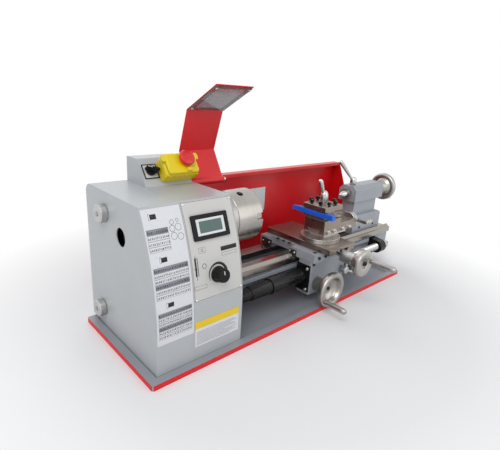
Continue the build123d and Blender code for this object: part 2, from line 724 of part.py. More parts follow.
# Switch box: sloping sheet box on the headstock's top, open underneath
SWITCH_BOX_OUTLINE = (
    (SWITCH_BOX_FRONT, HEAD_TOP),
    (SWITCH_BOX_EDGE, SWITCH_BOX_TOP),
    (SWITCH_BOX_BACK, SWITCH_BOX_TOP),
    (SWITCH_BOX_BACK, HEAD_TOP),
)
with BuildPart() as switch_box:
    with BuildSketch(Plane.YZ.offset(SWITCH_BOX_LEFT)):
        Polygon(*SWITCH_BOX_OUTLINE, align=None)
    extrude(amount=SWITCH_BOX_RIGHT - SWITCH_BOX_LEFT)
    fillet(switch_box.edges().filter_by(Axis.X).group_by(Axis.Z)[-1], radius=2)
    with BuildSketch(Plane.YZ.offset(SWITCH_BOX_LEFT + HOUSING_SHEET)):
        Polygon(*SWITCH_BOX_OUTLINE, align=None)
        offset(amount=-HOUSING_SHEET, kind=Kind.INTERSECTION)
    extrude(amount=SWITCH_BOX_RIGHT - SWITCH_BOX_LEFT - 2 * HOUSING_SHEET, mode=Mode.SUBTRACT)
    block(
        (SWITCH_BOX_LEFT + HOUSING_SHEET, SWITCH_BOX_RIGHT - HOUSING_SHEET),
        (SWITCH_BOX_FRONT + 2 * HOUSING_SHEET, SWITCH_BOX_BACK - HOUSING_SHEET),
        (HEAD_TOP, HEAD_TOP + HOUSING_SHEET),
        Mode.SUBTRACT,
    )
    with BuildSketch(slope_plane(SELECTOR_X, SELECTOR_UP, -2 * HOUSING_SHEET)):
        Circle(KNOB_SHAFT_RADIUS + RUNNING_GAP)
    extrude(amount=3 * HOUSING_SHEET, mode=Mode.SUBTRACT)

# Stop switch: housing, hinged lid and mushroom button
with BuildPart() as stop_housing:
    with BuildSketch(slope_plane(STOP_X, STOP_SLOPE_LOW + STOP_SLOPE_LENGTH / 2)):
        RectangleRounded(STOP_WIDTH, STOP_SLOPE_LENGTH, 6)
    extrude(amount=STOP_DEPTH)
    chamfer(stop_housing.faces().sort_by(SLOPE_NORMAL)[-1].edges(), length=2)

LID_BASE = STOP_DEPTH + SLIDE_GAP
LID_FACE = LID_BASE + LID_DEPTH
with BuildPart() as stop_lid:
    with BuildSketch(slope_plane(STOP_X, STOP_SLOPE_LOW + STOP_SLOPE_LENGTH / 2, LID_BASE)):
        RectangleRounded(STOP_WIDTH - 4, STOP_SLOPE_LENGTH - 2, 6)
    extrude(amount=LID_DEPTH)
    chamfer(stop_lid.faces().sort_by(SLOPE_NORMAL)[-1].edges(), length=2)
    with BuildSketch(slope_plane(MUSHROOM_X, MUSHROOM_UP, LID_BASE + 1)):
        Circle(STEM_RADIUS + RUNNING_GAP)
    extrude(amount=LID_DEPTH, mode=Mode.SUBTRACT)
    with BuildSketch(slope_plane(MUSHROOM_X, STOP_SLOPE_LOW + 5, LID_FACE)):
        Rectangle(10, 6)
    extrude(amount=6)

with BuildPart() as stop_mushroom:
    with BuildSketch(slope_plane(MUSHROOM_X, MUSHROOM_UP, LID_BASE + 1 + 2 * STOP_TRAVEL)):
        Circle(STEM_RADIUS)
    extrude(amount=LID_DEPTH)
    with BuildSketch(slope_plane(MUSHROOM_X, MUSHROOM_UP, LID_FACE + STOP_TRAVEL + 1)):
        Circle(MUSHROOM_RADIUS)
    extrude(amount=9)
    chamfer(stop_mushroom.faces().sort_by(SLOPE_NORMAL)[-1].edges(), length=2)

# Rotary direction selector
with BuildPart() as selector_knob:
    with BuildSketch(slope_plane(SELECTOR_X, SELECTOR_UP, -KNOB_SHAFT_DEPTH)):
        Circle(KNOB_SHAFT_RADIUS)
    extrude(amount=KNOB_SHAFT_DEPTH + PLATE_GAP)
    with BuildSketch(slope_plane(SELECTOR_X, SELECTOR_UP, PLATE_GAP)):
        Circle(SELECTOR_RADIUS)
    extrude(amount=5)
    with BuildSketch(slope_plane(SELECTOR_X, SELECTOR_UP, PLATE_GAP + 5)):
        SlotOverall(26, 8, rotation=-20)
    extrude(amount=11)

# Speed knob
with BuildPart() as speed_knob:
    with BuildSketch(front_plane(KNOB_X, KNOB_Z).offset(-KNOB_SHAFT_DEPTH)):
        Circle(KNOB_SHAFT_RADIUS)
    extrude(amount=KNOB_SHAFT_DEPTH + PLATE_GAP)
    with BuildSketch(front_plane(KNOB_X, KNOB_Z).offset(PLATE_GAP)):
        Circle(KNOB_RADIUS)
    extrude(amount=KNOB_LENGTH, taper=4)

# Motor: its flange bolts to the end plate
with BuildPart() as motor:
    rod_x((CASTING_LEFT, CASTING_LEFT + MOTOR_LENGTH), MOTOR_Y, MOTOR_Z, MOTOR_RADIUS)
    chamfer(motor.faces().sort_by(Axis.X)[-1].edges(), length=5)
    rod_x(
        (CASTING_LEFT, CASTING_LEFT + MOTOR_LENGTH / 2),
        MOTOR_Y,
        MOTOR_Z,
        MOTOR_SHAFT_RADIUS + RUNNING_GAP,
        Mode.SUBTRACT,
    )

with BuildPart() as motor_pulley:
    rod_x((PULLEY_LEFT, PULLEY_LEFT + PULLEY_WIDTH), MOTOR_Y, MOTOR_Z, MOTOR_PULLEY_RADIUS)
    rod_x((PULLEY_LEFT, CASTING_LEFT + MOTOR_LENGTH / 2 - 2), MOTOR_Y, MOTOR_Z, MOTOR_SHAFT_RADIUS)

# Drive belt: a closed loop round both pulleys
with BuildPart() as drive_belt:
    for thickness, mode in ((SLIDE_GAP + BELT_THICKNESS, Mode.ADD), (SLIDE_GAP, Mode.SUBTRACT)):
        with BuildSketch(Plane.YZ.offset(PULLEY_LEFT + 1)):
            with Locations((0, AXIS_Z)):
                Circle(SPINDLE_PULLEY_RADIUS + thickness)
            with Locations((MOTOR_Y, MOTOR_Z)):
                Circle(MOTOR_PULLEY_RADIUS + thickness)
            make_hull()
        extrude(amount=PULLEY_WIDTH - 2, mode=mode)

# Banjo: slotted arm on the screw bush that carries the idler's stud
ARM_UNIT = (
    (STUD_CENTRE[0] - SCREW_Y) / REACH_TWO,
    (STUD_CENTRE[1] - SCREW_Z) / REACH_TWO,
)
ARM_TIP = (STUD_CENTRE[0] + 16 * ARM_UNIT[0], STUD_CENTRE[1] + 16 * ARM_UNIT[1])
SLOT_MIDDLE = (STUD_CENTRE[0] - 18 * ARM_UNIT[0], STUD_CENTRE[1] - 18 * ARM_UNIT[1])
with BuildPart() as banjo:
    with BuildSketch(Plane.YZ.offset(END_PLATE_LEFT - BANJO_THICKNESS)):
        with Locations(SCREW_CENTRE):
            Circle(17)
        with Locations(ARM_TIP):
            Circle(12)
        make_hull()
        with Locations(SCREW_CENTRE):
            Circle(SCREW_JOURNAL_RADIUS + SLIDE_GAP, mode=Mode.SUBTRACT)
        with Locations(SLOT_MIDDLE):
            SlotOverall(
                52,
                2 * STUD_RADIUS,
                rotation=math.degrees(math.atan2(ARM_UNIT[1], ARM_UNIT[0])),
                mode=Mode.SUBTRACT,
            )
    extrude(amount=BANJO_THICKNESS)
    rod_x((GEAR_LEFT - STUD_NUT, STUD_COLLAR_LEFT), *STUD_CENTRE, STUD_RADIUS)
    rod_x((STUD_COLLAR_LEFT, END_PLATE_LEFT - BANJO_THICKNESS), *STUD_CENTRE, STUD_RADIUS + 4)
    with BuildSketch(Plane.YZ.offset(GEAR_LEFT - STUD_NUT)):
        with Locations(STUD_CENTRE):
            RegularPolygon(STUD_RADIUS + 4, 6)
    extrude(amount=STUD_NUT - SLIDE_GAP)

# Guard pivot rod in the housing's side
with BuildPart() as guard_rod:
    rod_x((HEAD_RIGHT - 12, GUARD_RIGHT + 5), *GUARD_PIVOT, GUARD_ROD_RADIUS)
    rod_x((HEAD_RIGHT - 10, HEAD_RIGHT - HOUSING_SHEET), *GUARD_PIVOT, GUARD_ROD_RADIUS + 1)

# Splash guard: back sheet with a folded lip, end wing and foot
with BuildPart() as splash_guard:
    with BuildSketch(Plane.YZ.offset(SPLASH_LEFT)):
        Polygon(
            (SPLASH_FACE, TRAY_HEIGHT),
            (SPLASH_FACE, SPLASH_TOP - SPLASH_SHEET),
            (SPLASH_LIP + SPLASH_SHEET, SPLASH_TOP - SPLASH_SHEET),
            (SPLASH_LIP + SPLASH_SHEET, SPLASH_TOP - SPLASH_HEM),
            (SPLASH_LIP, SPLASH_TOP - SPLASH_HEM),
            (SPLASH_LIP, SPLASH_TOP),
            (SPLASH_FACE + SPLASH_SHEET, SPLASH_TOP),
            (SPLASH_FACE + SPLASH_SHEET, TRAY_HEIGHT),
            align=None,
        )
    extrude(amount=SPLASH_RIGHT - SPLASH_LEFT)
    block(
        (SPLASH_LEFT, SPLASH_RIGHT),
        (TRAY_WIDTH / 2 - TRAY_BORDER + 1, SPLASH_FACE),
        (TRAY_HEIGHT, TRAY_HEIGHT + SPLASH_SHEET),
    )
    with BuildSketch(Plane.YZ.offset(SPLASH_RIGHT - SPLASH_SHEET)):
        Polygon(
            (SPLASH_FACE, TRAY_HEIGHT),
            (SPLASH_FACE, SPLASH_TOP),
            (SPLASH_LIP, SPLASH_TOP),
            (SPLASH_WING, SPLASH_WING_Z),
            (SPLASH_WING, TRAY_HEIGHT),
            align=None,
        )
    extrude(amount=SPLASH_SHEET)

# Spindle: hollow shaft with a nose flange
with BuildPart() as spindle:
    with BuildSketch(turned_x(0, AXIS_Z)):
        Polygon(
            (SPINDLE_LEFT, SPINDLE_BORE_RADIUS),
            (SPINDLE_LEFT, SPINDLE_TAIL_RADIUS),
            (PULLEY_LEFT, SPINDLE_TAIL_RADIUS),
            (PULLEY_LEFT, SPINDLE_RADIUS),
            (FLANGE_LEFT, SPINDLE_RADIUS),
            (FLANGE_LEFT, FLANGE_RADIUS),
            (CHUCK_LEFT, FLANGE_RADIUS),
            (CHUCK_LEFT, SPINDLE_BORE_RADIUS),
            align=None,
        )
    revolve(axis=Axis((0, 0, AXIS_Z), (1, 0, 0)))

with BuildPart() as spindle_pulley:
    rod_x((PULLEY_LEFT, PULLEY_LEFT + PULLEY_WIDTH), 0, AXIS_Z, SPINDLE_PULLEY_RADIUS)
    rod_x((PULLEY_LEFT, PULLEY_LEFT + PULLEY_WIDTH), 0, AXIS_Z, SPINDLE_RADIUS, Mode.SUBTRACT)

# Change gears
with BuildPart() as spindle_gear:
    with BuildSketch(Plane.YZ.offset(GEAR_LEFT)):
        Polygon(*gear_points(SPINDLE_TEETH, SPINDLE_CENTRE, SPINDLE_PHASE), align=None)
        with Locations(SPINDLE_CENTRE):
            Circle(SPINDLE_TAIL_RADIUS, mode=Mode.SUBTRACT)
    extrude(amount=GEAR_WIDTH)

with BuildPart() as stud_gear:
    with BuildSketch(Plane.YZ.offset(GEAR_LEFT)):
        Polygon(*gear_points(STUD_TEETH, STUD_CENTRE, STUD_PHASE), align=None)
        with Locations(STUD_CENTRE):
            Circle(STUD_RADIUS + RUNNING_GAP, mode=Mode.SUBTRACT)
            with PolarLocations(30, 6):
                Circle(9, mode=Mode.SUBTRACT)
    extrude(amount=GEAR_WIDTH)

with BuildPart() as leadscrew_gear:
    with BuildSketch(Plane.YZ.offset(GEAR_LEFT)):
        Polygon(*gear_points(SCREW_TEETH, SCREW_CENTRE, SCREW_PHASE), align=None)
        with Locations(SCREW_CENTRE):
            Circle(SCREW_JOURNAL_RADIUS, mode=Mode.SUBTRACT)
    extrude(amount=GEAR_WIDTH)

with BuildPart() as leadscrew:
    rod_x((SCREW_LEFT, SCREW_BRACKET_RIGHT + 3), SCREW_Y, SCREW_Z, SCREW_JOURNAL_RADIUS)
    rod_x((SCREW_MAIN_LEFT, SCREW_MAIN_RIGHT), SCREW_Y, SCREW_Z, SCREW_RADIUS)
    rod_x((SCREW_BRACKET_RIGHT + 3, SCREW_BRACKET_RIGHT + 18), SCREW_Y, SCREW_Z, SCREW_RADIUS + 2)
    rod_x((SCREW_BRACKET_RIGHT + 18, SCREW_RIGHT), SCREW_Y, SCREW_Z, SCREW_JOURNAL_RADIUS - 3)

# Three-jaw chuck
with BuildPart() as chuck_body:
    with BuildSketch(turned_x(0, AXIS_Z)):
        Polygon(
            (CHUCK_LEFT, CHUCK_BORE_RADIUS),
            (CHUCK_LEFT, CHUCK_RADIUS - 1),
            (CHUCK_LEFT + 1, CHUCK_RADIUS),
            (CHUCK_RIGHT - 1.5, CHUCK_RADIUS),
            (CHUCK_RIGHT, CHUCK_RADIUS - 1.5),
            (CHUCK_RIGHT, CHUCK_BORE_RADIUS),
            align=None,
        )
    revolve(axis=Axis((0, 0, AXIS_Z), (1, 0, 0)))
    for jaw in range(3):
        angle = PINION_ANGLE + 60 + 120 * jaw
        with BuildSketch(radial_plane(angle)):
            Polygon(
                (JAW_LEFT - SLIDE_GAP, 0),
                (CHUCK_RIGHT, 0),
                (CHUCK_RIGHT, CHUCK_RADIUS + 1),
                (JAW_LEFT - SLIDE_GAP, CHUCK_RADIUS + 1),
                align=None,
            )
        extrude(amount=JAW_WIDTH / 2 + SLIDE_GAP, both=True, mode=Mode.SUBTRACT)
    with BuildSketch(bore_plane(PINION_ANGLE, CHUCK_RADIUS - PINION_DEPTH)):
        with Locations((PINION_X, 0)):
            Circle(PINION_RADIUS + RUNNING_GAP)
    extrude(amount=PINION_DEPTH + 1, mode=Mode.SUBTRACT)

with BuildPart() as chuck_pinion:
    with BuildSketch(bore_plane(PINION_ANGLE, CHUCK_RADIUS - PINION_DEPTH)):
        with Locations((PINION_X, 0)):
            Circle(PINION_RADIUS)
    extrude(amount=PINION_DEPTH - 1.5)
    with BuildSketch(bore_plane(PINION_ANGLE, CHUCK_RADIUS - 14)):
        with Locations((PINION_X, 0)):
            Rectangle(KEY_SQUARE, KEY_SQUARE)
    extrude(amount=14, mode=Mode.SUBTRACT)

# Stepped jaws, closed at rest
JAW_STEPS = tuple(JAW_TIP + JAW_STEP * (step + 1) - 2 for step in range(3))
JAW_FACES = tuple(CHUCK_RIGHT + JAW_STEP_HEIGHT * (3 - step) for step in range(3))
jaws = []
for jaw in range(3):
    with BuildPart() as chuck_jaw:
        with BuildSketch(radial_plane(PINION_ANGLE + 60 + 120 * jaw)):
            Polygon(
                (JAW_LEFT, JAW_TIP),
                (JAW_FACES[0], JAW_TIP),
                (JAW_FACES[0], JAW_STEPS[0]),
                (JAW_FACES[1], JAW_STEPS[0]),
                (JAW_FACES[1], JAW_STEPS[1]),
                (JAW_FACES[2], JAW_STEPS[1]),
                (JAW_FACES[2], JAW_STEPS[2]),
                (CHUCK_RIGHT, JAW_STEPS[2]),
                (CHUCK_RIGHT, JAW_TAIL),
                (JAW_LEFT, JAW_TAIL),
                align=None,
            )
        extrude(amount=JAW_WIDTH / 2, both=True)
    jaws.append(chuck_jaw)

# Chuck guard, open at rest: bent sheet on its hinge tube, open behind the window
GUARD_LINE = (GUARD_PIVOT, GUARD_BEND_ONE, GUARD_BEND_TWO, GUARD_END)
PANEL_RUN = (GUARD_END[0] - GUARD_BEND_TWO[0], GUARD_END[1] - GUARD_BEND_TWO[1])
PANEL_LENGTH = math.hypot(*PANEL_RUN)
PANEL_PLANE = Plane(
    origin=(
        (GUARD_LEFT + GUARD_RIGHT) / 2,
        (GUARD_END[0] + GUARD_BEND_TWO[0]) / 2,
        (GUARD_END[1] + GUARD_BEND_TWO[1]) / 2,
    ),
    x_dir=(1, 0, 0),
    z_dir=(0, PANEL_RUN[1], -PANEL_RUN[0]),
)
with BuildPart() as chuck_guard:
    with BuildSketch(Plane.YZ.offset(GUARD_LEFT)):
        Polygon(*strip(GUARD_LINE, GUARD_SHEET), align=None)
    extrude(amount=GUARD_RIGHT - GUARD_LEFT)
    rod_x((GUARD_TUBE_LEFT, GUARD_RIGHT), *GUARD_PIVOT, GUARD_TUBE_RADIUS)
    rod_x((GUARD_LEFT, GUARD_RIGHT), *GUARD_PIVOT, GUARD_ROD_RADIUS + RUNNING_GAP, Mode.SUBTRACT)
    with BuildSketch(PANEL_PLANE):
        RectangleRounded(
            GUARD_RIGHT - GUARD_LEFT - 2 * WINDOW_MARGIN,
            PANEL_LENGTH - 2 * WINDOW_MARGIN,
            WINDOW_CORNER,
        )
    extrude(amount=2 * GUARD_SHEET, both=True, mode=Mode.SUBTRACT)

# Clear window plate on the inside of the guard
with BuildPart() as guard_window:
    with BuildSketch(PANEL_PLANE.offset(-GUARD_SHEET)):
        Rectangle(GUARD_RIGHT - GUARD_LEFT - 2 * GUARD_SHEET, PANEL_LENGTH - WINDOW_MARGIN)
    extrude(amount=-WINDOW_SHEET)

# Saddle: bridge over the ways, with the cross slide's dovetail on top
with BuildPart() as saddle:
    with BuildSketch(Plane.YZ.offset(SADDLE_LEFT)):
        Polygon(
            (SADDLE_FRONT, SADDLE_SKIRT),
            (SADDLE_FRONT, SADDLE_TOP),
            (SADDLE_BACK, SADDLE_TOP),
            (SADDLE_BACK, WAY_Z + SLIDE_GAP),
            (VEE_Y + VEE_HALF_WIDTH + 0.5, WAY_Z + SLIDE_GAP),
            (VEE_Y, WAY_Z + VEE_HEIGHT + 2 * SLIDE_GAP),
            (VEE_Y - VEE_HALF_WIDTH - 0.5, WAY_Z + SLIDE_GAP),
            (-BED_HALF_WIDTH - 2 * SLIDE_GAP, WAY_Z + SLIDE_GAP),
            (-BED_HALF_WIDTH - 2 * SLIDE_GAP, SADDLE_SKIRT),
            align=None,
        )
    extrude(amount=SADDLE_RIGHT - SADDLE_LEFT)
    for span in ((SADDLE_LEFT, SADDLE_LEFT + SADDLE_RECESS), (SADDLE_RIGHT - SADDLE_RECESS, SADDLE_RIGHT)):
        block(span, (VEE_Y + VEE_HALF_WIDTH, SADDLE_BACK - 26), (WAY_Z, SADDLE_TOP), Mode.SUBTRACT)
    with BuildSketch(Plane.XZ.offset(-SADDLE_FRONT)):
        Polygon(
            (CROSS_X - DOVETAIL_NECK, SADDLE_TOP),
            (CROSS_X - DOVETAIL_TOP, SADDLE_TOP + DOVETAIL_HEIGHT),
            (CROSS_X + DOVETAIL_TOP, SADDLE_TOP + DOVETAIL_HEIGHT),
            (CROSS_X + DOVETAIL_NECK, SADDLE_TOP),
            align=None,
        )
    extrude(amount=SADDLE_FRONT - SADDLE_BACK)
    rod_y((SADDLE_FRONT, SADDLE_FRONT + 20), CROSS_X, CROSS_SCREW_Z, CROSS_HOLE_RADIUS, Mode.SUBTRACT)

# Apron: gear case hanging in front of the bed
with BuildPart() as apron:
    block((APRON_LEFT, APRON_RIGHT), (APRON_FRONT, APRON_BACK), (APRON_BASE, SADDLE_SKIRT))
    fillet(apron.edges().filter_by(Axis.Z).group_by(Axis.Y)[0], radius=4)
    fillet(apron.edges().filter_by(Axis.Y).group_by(Axis.Z)[0], radius=6)
    rod_x((APRON_LEFT, APRON_RIGHT), SCREW_Y, SCREW_Z, INNER_TUBE_BORE, Mode.SUBTRACT)
    rod_y((APRON_FRONT, APRON_FRONT + 20), WHEEL_X, WHEEL_Z, WHEEL_SHAFT_RADIUS + RUNNING_GAP, Mode.SUBTRACT)
    rod_y((APRON_FRONT, APRON_FRONT + 12), LEVER_X, LEVER_Z, 5 + RUNNING_GAP, Mode.SUBTRACT)

# Telescopic leadscrew cover
with BuildPart() as screw_cover_inner:
    rod_x((HEAD_RIGHT, HEAD_RIGHT + COVER_FLANGE), SCREW_Y, SCREW_Z, OUTER_TUBE_RADIUS)
    rod_x((HEAD_RIGHT, HEAD_RIGHT + COVER_FLANGE + TUBE_LENGTH), SCREW_Y, SCREW_Z, INNER_TUBE_RADIUS)
    rod_x(
        (HEAD_RIGHT, HEAD_RIGHT + COVER_FLANGE + TUBE_LENGTH),
        SCREW_Y,
        SCREW_Z,
        INNER_TUBE_BORE,
        Mode.SUBTRACT,
    )

with BuildPart() as screw_cover_middle:
    rod_x((MIDDLE_TUBE_LEFT, MIDDLE_TUBE_LEFT + TUBE_LENGTH), SCREW_Y, SCREW_Z, MIDDLE_TUBE_RADIUS)
    rod_x(
        (MIDDLE_TUBE_LEFT, MIDDLE_TUBE_LEFT + TUBE_LENGTH),
        SCREW_Y,
        SCREW_Z,
        MIDDLE_TUBE_BORE,
        Mode.SUBTRACT,
    )

PLATE_THICKNESS = APRON_LEFT - SADDLE_LEFT
COVER_PLATE_Z = (32, 94)
with BuildPart() as screw_cover_outer:
    block((APRON_LEFT - PLATE_THICKNESS, APRON_LEFT), (APRON_FRONT + 1, APRON_BACK + 3), COVER_PLATE_Z)
    rod_x((APRON_LEFT - TUBE_LENGTH, APRON_LEFT), SCREW_Y, SCREW_Z, OUTER_TUBE_RADIUS)
    rod_x(
        (APRON_LEFT - TUBE_LENGTH, APRON_LEFT - PLATE_THICKNESS),
        SCREW_Y,
        SCREW_Z,
        OUTER_TUBE_BORE,
        Mode.SUBTRACT,
    )
    rod_x((APRON_LEFT - TUBE_LENGTH, APRON_LEFT), SCREW_Y, SCREW_Z, INNER_TUBE_BORE, Mode.SUBTRACT)

# Cross screw bracket on the saddle's front
with BuildPart() as cross_screw_bracket:
    rod_y((BRACKET_NECK_END, SADDLE_FRONT), CROSS_X, CROSS_SCREW_Z, BRACKET_NECK_RADIUS)
    rod_y((BRACKET_END, BRACKET_NECK_END), CROSS_X, CROSS_SCREW_Z, BRACKET_RADIUS)
    rod_y((BRACKET_END, SADDLE_FRONT), CROSS_X, CROSS_SCREW_Z, CROSS_HOLE_RADIUS, Mode.SUBTRACT)

# Carriage handwheel: dished wheel with its shaft and grip pin
with BuildPart() as carriage_handwheel:
    with BuildSketch(turned_y(WHEEL_X, WHEEL_Z)):
        Polygon(
            (APRON_FRONT + 18, 0),
            (APRON_FRONT + 18, WHEEL_SHAFT_RADIUS),
            (APRON_FRONT - SLIDE_GAP, WHEEL_SHAFT_RADIUS),
            (APRON_FRONT - SLIDE_GAP, 15),
            (APRON_FRONT - 16, 15),
            (WHEEL_BACK + 4, 33),
            (WHEEL_BACK, WHEEL_RADIUS - 1),
            (WHEEL_BACK - 1, WHEEL_RADIUS),
            (WHEEL_FACE + 2, WHEEL_RADIUS),
            (WHEEL_FACE, WHEEL_RADIUS - 2),
            (WHEEL_FACE, WHEEL_RADIUS - 8),
            (WHEEL_BACK - 1, 29),
            (WHEEL_BACK + 7, 12),
            (WHEEL_BACK + 7, 0),
            align=None,
        )
    revolve(axis=Axis((WHEEL_X, 0, WHEEL_Z), (0, 1, 0)))
    rod_y(
        (WHEEL_FACE - CARRIAGE_GRIP_LENGTH + 10, WHEEL_FACE + 4),
        WHEEL_X + CARRIAGE_GRIP_ARM[0],
        WHEEL_Z + CARRIAGE_GRIP_ARM[1],
        GRIP_PIN_RADIUS,
    )

with BuildPart() as carriage_grip:
    with BuildSketch(turned_y(WHEEL_X + CARRIAGE_GRIP_ARM[0], WHEEL_Z + CARRIAGE_GRIP_ARM[1])):
        Polygon(
            (WHEEL_FACE - SLIDE_GAP, GRIP_PIN_RADIUS + RUNNING_GAP),
            (WHEEL_FACE - SLIDE_GAP, GRIP_RADIUS - 1.5),
            (WHEEL_FACE - CARRIAGE_GRIP_LENGTH * 0.5, GRIP_RADIUS),
            (WHEEL_FACE - CARRIAGE_GRIP_LENGTH + 3, GRIP_RADIUS),
            (WHEEL_FACE - CARRIAGE_GRIP_LENGTH, GRIP_RADIUS - 3),
            (WHEEL_FACE - CARRIAGE_GRIP_LENGTH, 0),
            (WHEEL_FACE - CARRIAGE_GRIP_LENGTH + 9, 0),
            (WHEEL_FACE - CARRIAGE_GRIP_LENGTH + 9, GRIP_PIN_RADIUS + RUNNING_GAP),
            align=None,
        )
    revolve(
        axis=Axis((WHEEL_X + CARRIAGE_GRIP_ARM[0], 0, WHEEL_Z + CARRIAGE_GRIP_ARM[1]), (0, 1, 0))
    )

# Half-nut lever
with BuildPart() as halfnut_lever:
    rod_y((APRON_FRONT - 16, APRON_FRONT - SLIDE_GAP), LEVER_X, LEVER_Z, 9)
    rod_y((APRON_FRONT - SLIDE_GAP, APRON_FRONT + 11), LEVER_X, LEVER_Z, 5)
    with BuildSketch(Plane.XZ.offset(-(APRON_FRONT - 9))):
        with Locations((LEVER_X + 15, LEVER_Z - 6)):
            SlotOverall(44, 9, rotation=-22)
        with Locations((LEVER_X, LEVER_Z + 10)):
            SlotOverall(30, 8, rotation=90)
    extrude(amount=7)

# Cross slide with its dovetail groove
with BuildPart() as cross_slide:
    block(
        (CROSS_X - CROSS_WIDTH / 2, CROSS_X + CROSS_WIDTH / 2),
        (CROSS_FRONT, CROSS_BACK),
        (SADDLE_TOP + SLIDE_GAP, CROSS_TOP),
    )
    chamfer(cross_slide.edges().group_by(Axis.Z)[-1], length=0.8)
    with BuildSketch(Plane.XZ.offset(-CROSS_FRONT)):
        Polygon(
            (CROSS_X - DOVETAIL_NECK - 2 * SLIDE_GAP, SADDLE_TOP),
            (CROSS_X - DOVETAIL_TOP - 2 * SLIDE_GAP, SADDLE_TOP + DOVETAIL_HEIGHT + SLIDE_GAP),
            (CROSS_X + DOVETAIL_TOP + 2 * SLIDE_GAP, SADDLE_TOP + DOVETAIL_HEIGHT + SLIDE_GAP),
            (CROSS_X + DOVETAIL_NECK + 2 * SLIDE_GAP, SADDLE_TOP),
            align=None,
        )
    extrude(amount=CROSS_FRONT - CROSS_BACK, mode=Mode.SUBTRACT)

# Cross screw with its dial, handle disc and grip pin
CROSS_DISC_BACK = BRACKET_END - SLIDE_GAP - DIAL_COLLAR_LENGTH
CROSS_DISC_FACE = CROSS_DISC_BACK - CROSS_DISC_LENGTH
with BuildPart() as cross_dial:
    with BuildSketch(turned_y(CROSS_X, CROSS_SCREW_Z)):
        Polygon(
            (SADDLE_FRONT + 18, 0),
            (SADDLE_FRONT + 18, CROSS_SHAFT_RADIUS),
            (BRACKET_END - SLIDE_GAP, CROSS_SHAFT_RADIUS),
            (BRACKET_END - SLIDE_GAP, DIAL_COLLAR_RADIUS),
            (CROSS_DISC_BACK, DIAL_COLLAR_RADIUS),
            (CROSS_DISC_BACK, CROSS_DISC_RADIUS - 2),
            (CROSS_DISC_BACK - 2, CROSS_DISC_RADIUS),
            (CROSS_DISC_FACE + 2, CROSS_DISC_RADIUS),
            (CROSS_DISC_FACE, CROSS_DISC_RADIUS - 2),
            (CROSS_DISC_FACE, 0),
            align=None,
        )
    revolve(axis=Axis((CROSS_X, 0, CROSS_SCREW_Z), (0, 1, 0)))
    rod_y(
        (CROSS_DISC_FACE - CROSS_GRIP_LENGTH + 10, CROSS_DISC_FACE + 4),
        CROSS_X + CROSS_GRIP_ARM[0],
        CROSS_SCREW_Z + CROSS_GRIP_ARM[1],
        GRIP_PIN_RADIUS,
    )

with BuildPart() as cross_grip:
    with BuildSketch(turned_y(CROSS_X + CROSS_GRIP_ARM[0], CROSS_SCREW_Z + CROSS_GRIP_ARM[1])):
        Polygon(
            (CROSS_DISC_FACE - SLIDE_GAP, GRIP_PIN_RADIUS + RUNNING_GAP),
            (CROSS_DISC_FACE - SLIDE_GAP, GRIP_RADIUS - 1.5),
            (CROSS_DISC_FACE - CROSS_GRIP_LENGTH * 0.5, GRIP_RADIUS),
            (CROSS_DISC_FACE - CROSS_GRIP_LENGTH + 3, GRIP_RADIUS),
            (CROSS_DISC_FACE - CROSS_GRIP_LENGTH, GRIP_RADIUS - 3),
            (CROSS_DISC_FACE - CROSS_GRIP_LENGTH, 0),
            (CROSS_DISC_FACE - CROSS_GRIP_LENGTH + 9, 0),
            (CROSS_DISC_FACE - CROSS_GRIP_LENGTH + 9, GRIP_PIN_RADIUS + RUNNING_GAP),
            align=None,
        )
    revolve(
        axis=Axis((CROSS_X + CROSS_GRIP_ARM[0], 0, CROSS_SCREW_Z + CROSS_GRIP_ARM[1]), (0, 1, 0))
    )

# Swivel base with the compound's lower dovetail
with BuildPart() as swivel_base:
    rod_z((CROSS_TOP + SLIDE_GAP, SWIVEL_TOP), CROSS_X, SWIVEL_Y, SWIVEL_RADIUS)
    with BuildSketch(Plane.YZ.offset(COMPOUND_LEFT + 2)):
        Polygon(
            (COMPOUND_Y - COMPOUND_HALF_WIDTH, SWIVEL_TOP),
            (COMPOUND_Y - COMPOUND_HALF_WIDTH, COMPOUND_BASE_TOP),
            (COMPOUND_Y - SMALL_DOVETAIL_NECK, COMPOUND_BASE_TOP),
            (COMPOUND_Y - SMALL_DOVETAIL_TOP, COMPOUND_BASE_TOP + DOVETAIL_HEIGHT),
            (COMPOUND_Y + SMALL_DOVETAIL_TOP, COMPOUND_BASE_TOP + DOVETAIL_HEIGHT),
            (COMPOUND_Y + SMALL_DOVETAIL_NECK, COMPOUND_BASE_TOP),
            (COMPOUND_Y + COMPOUND_HALF_WIDTH, COMPOUND_BASE_TOP),
            (COMPOUND_Y + COMPOUND_HALF_WIDTH, SWIVEL_TOP),
            align=None,
        )
    extrude(amount=COMPOUND_BASE_RIGHT - COMPOUND_LEFT - 2)

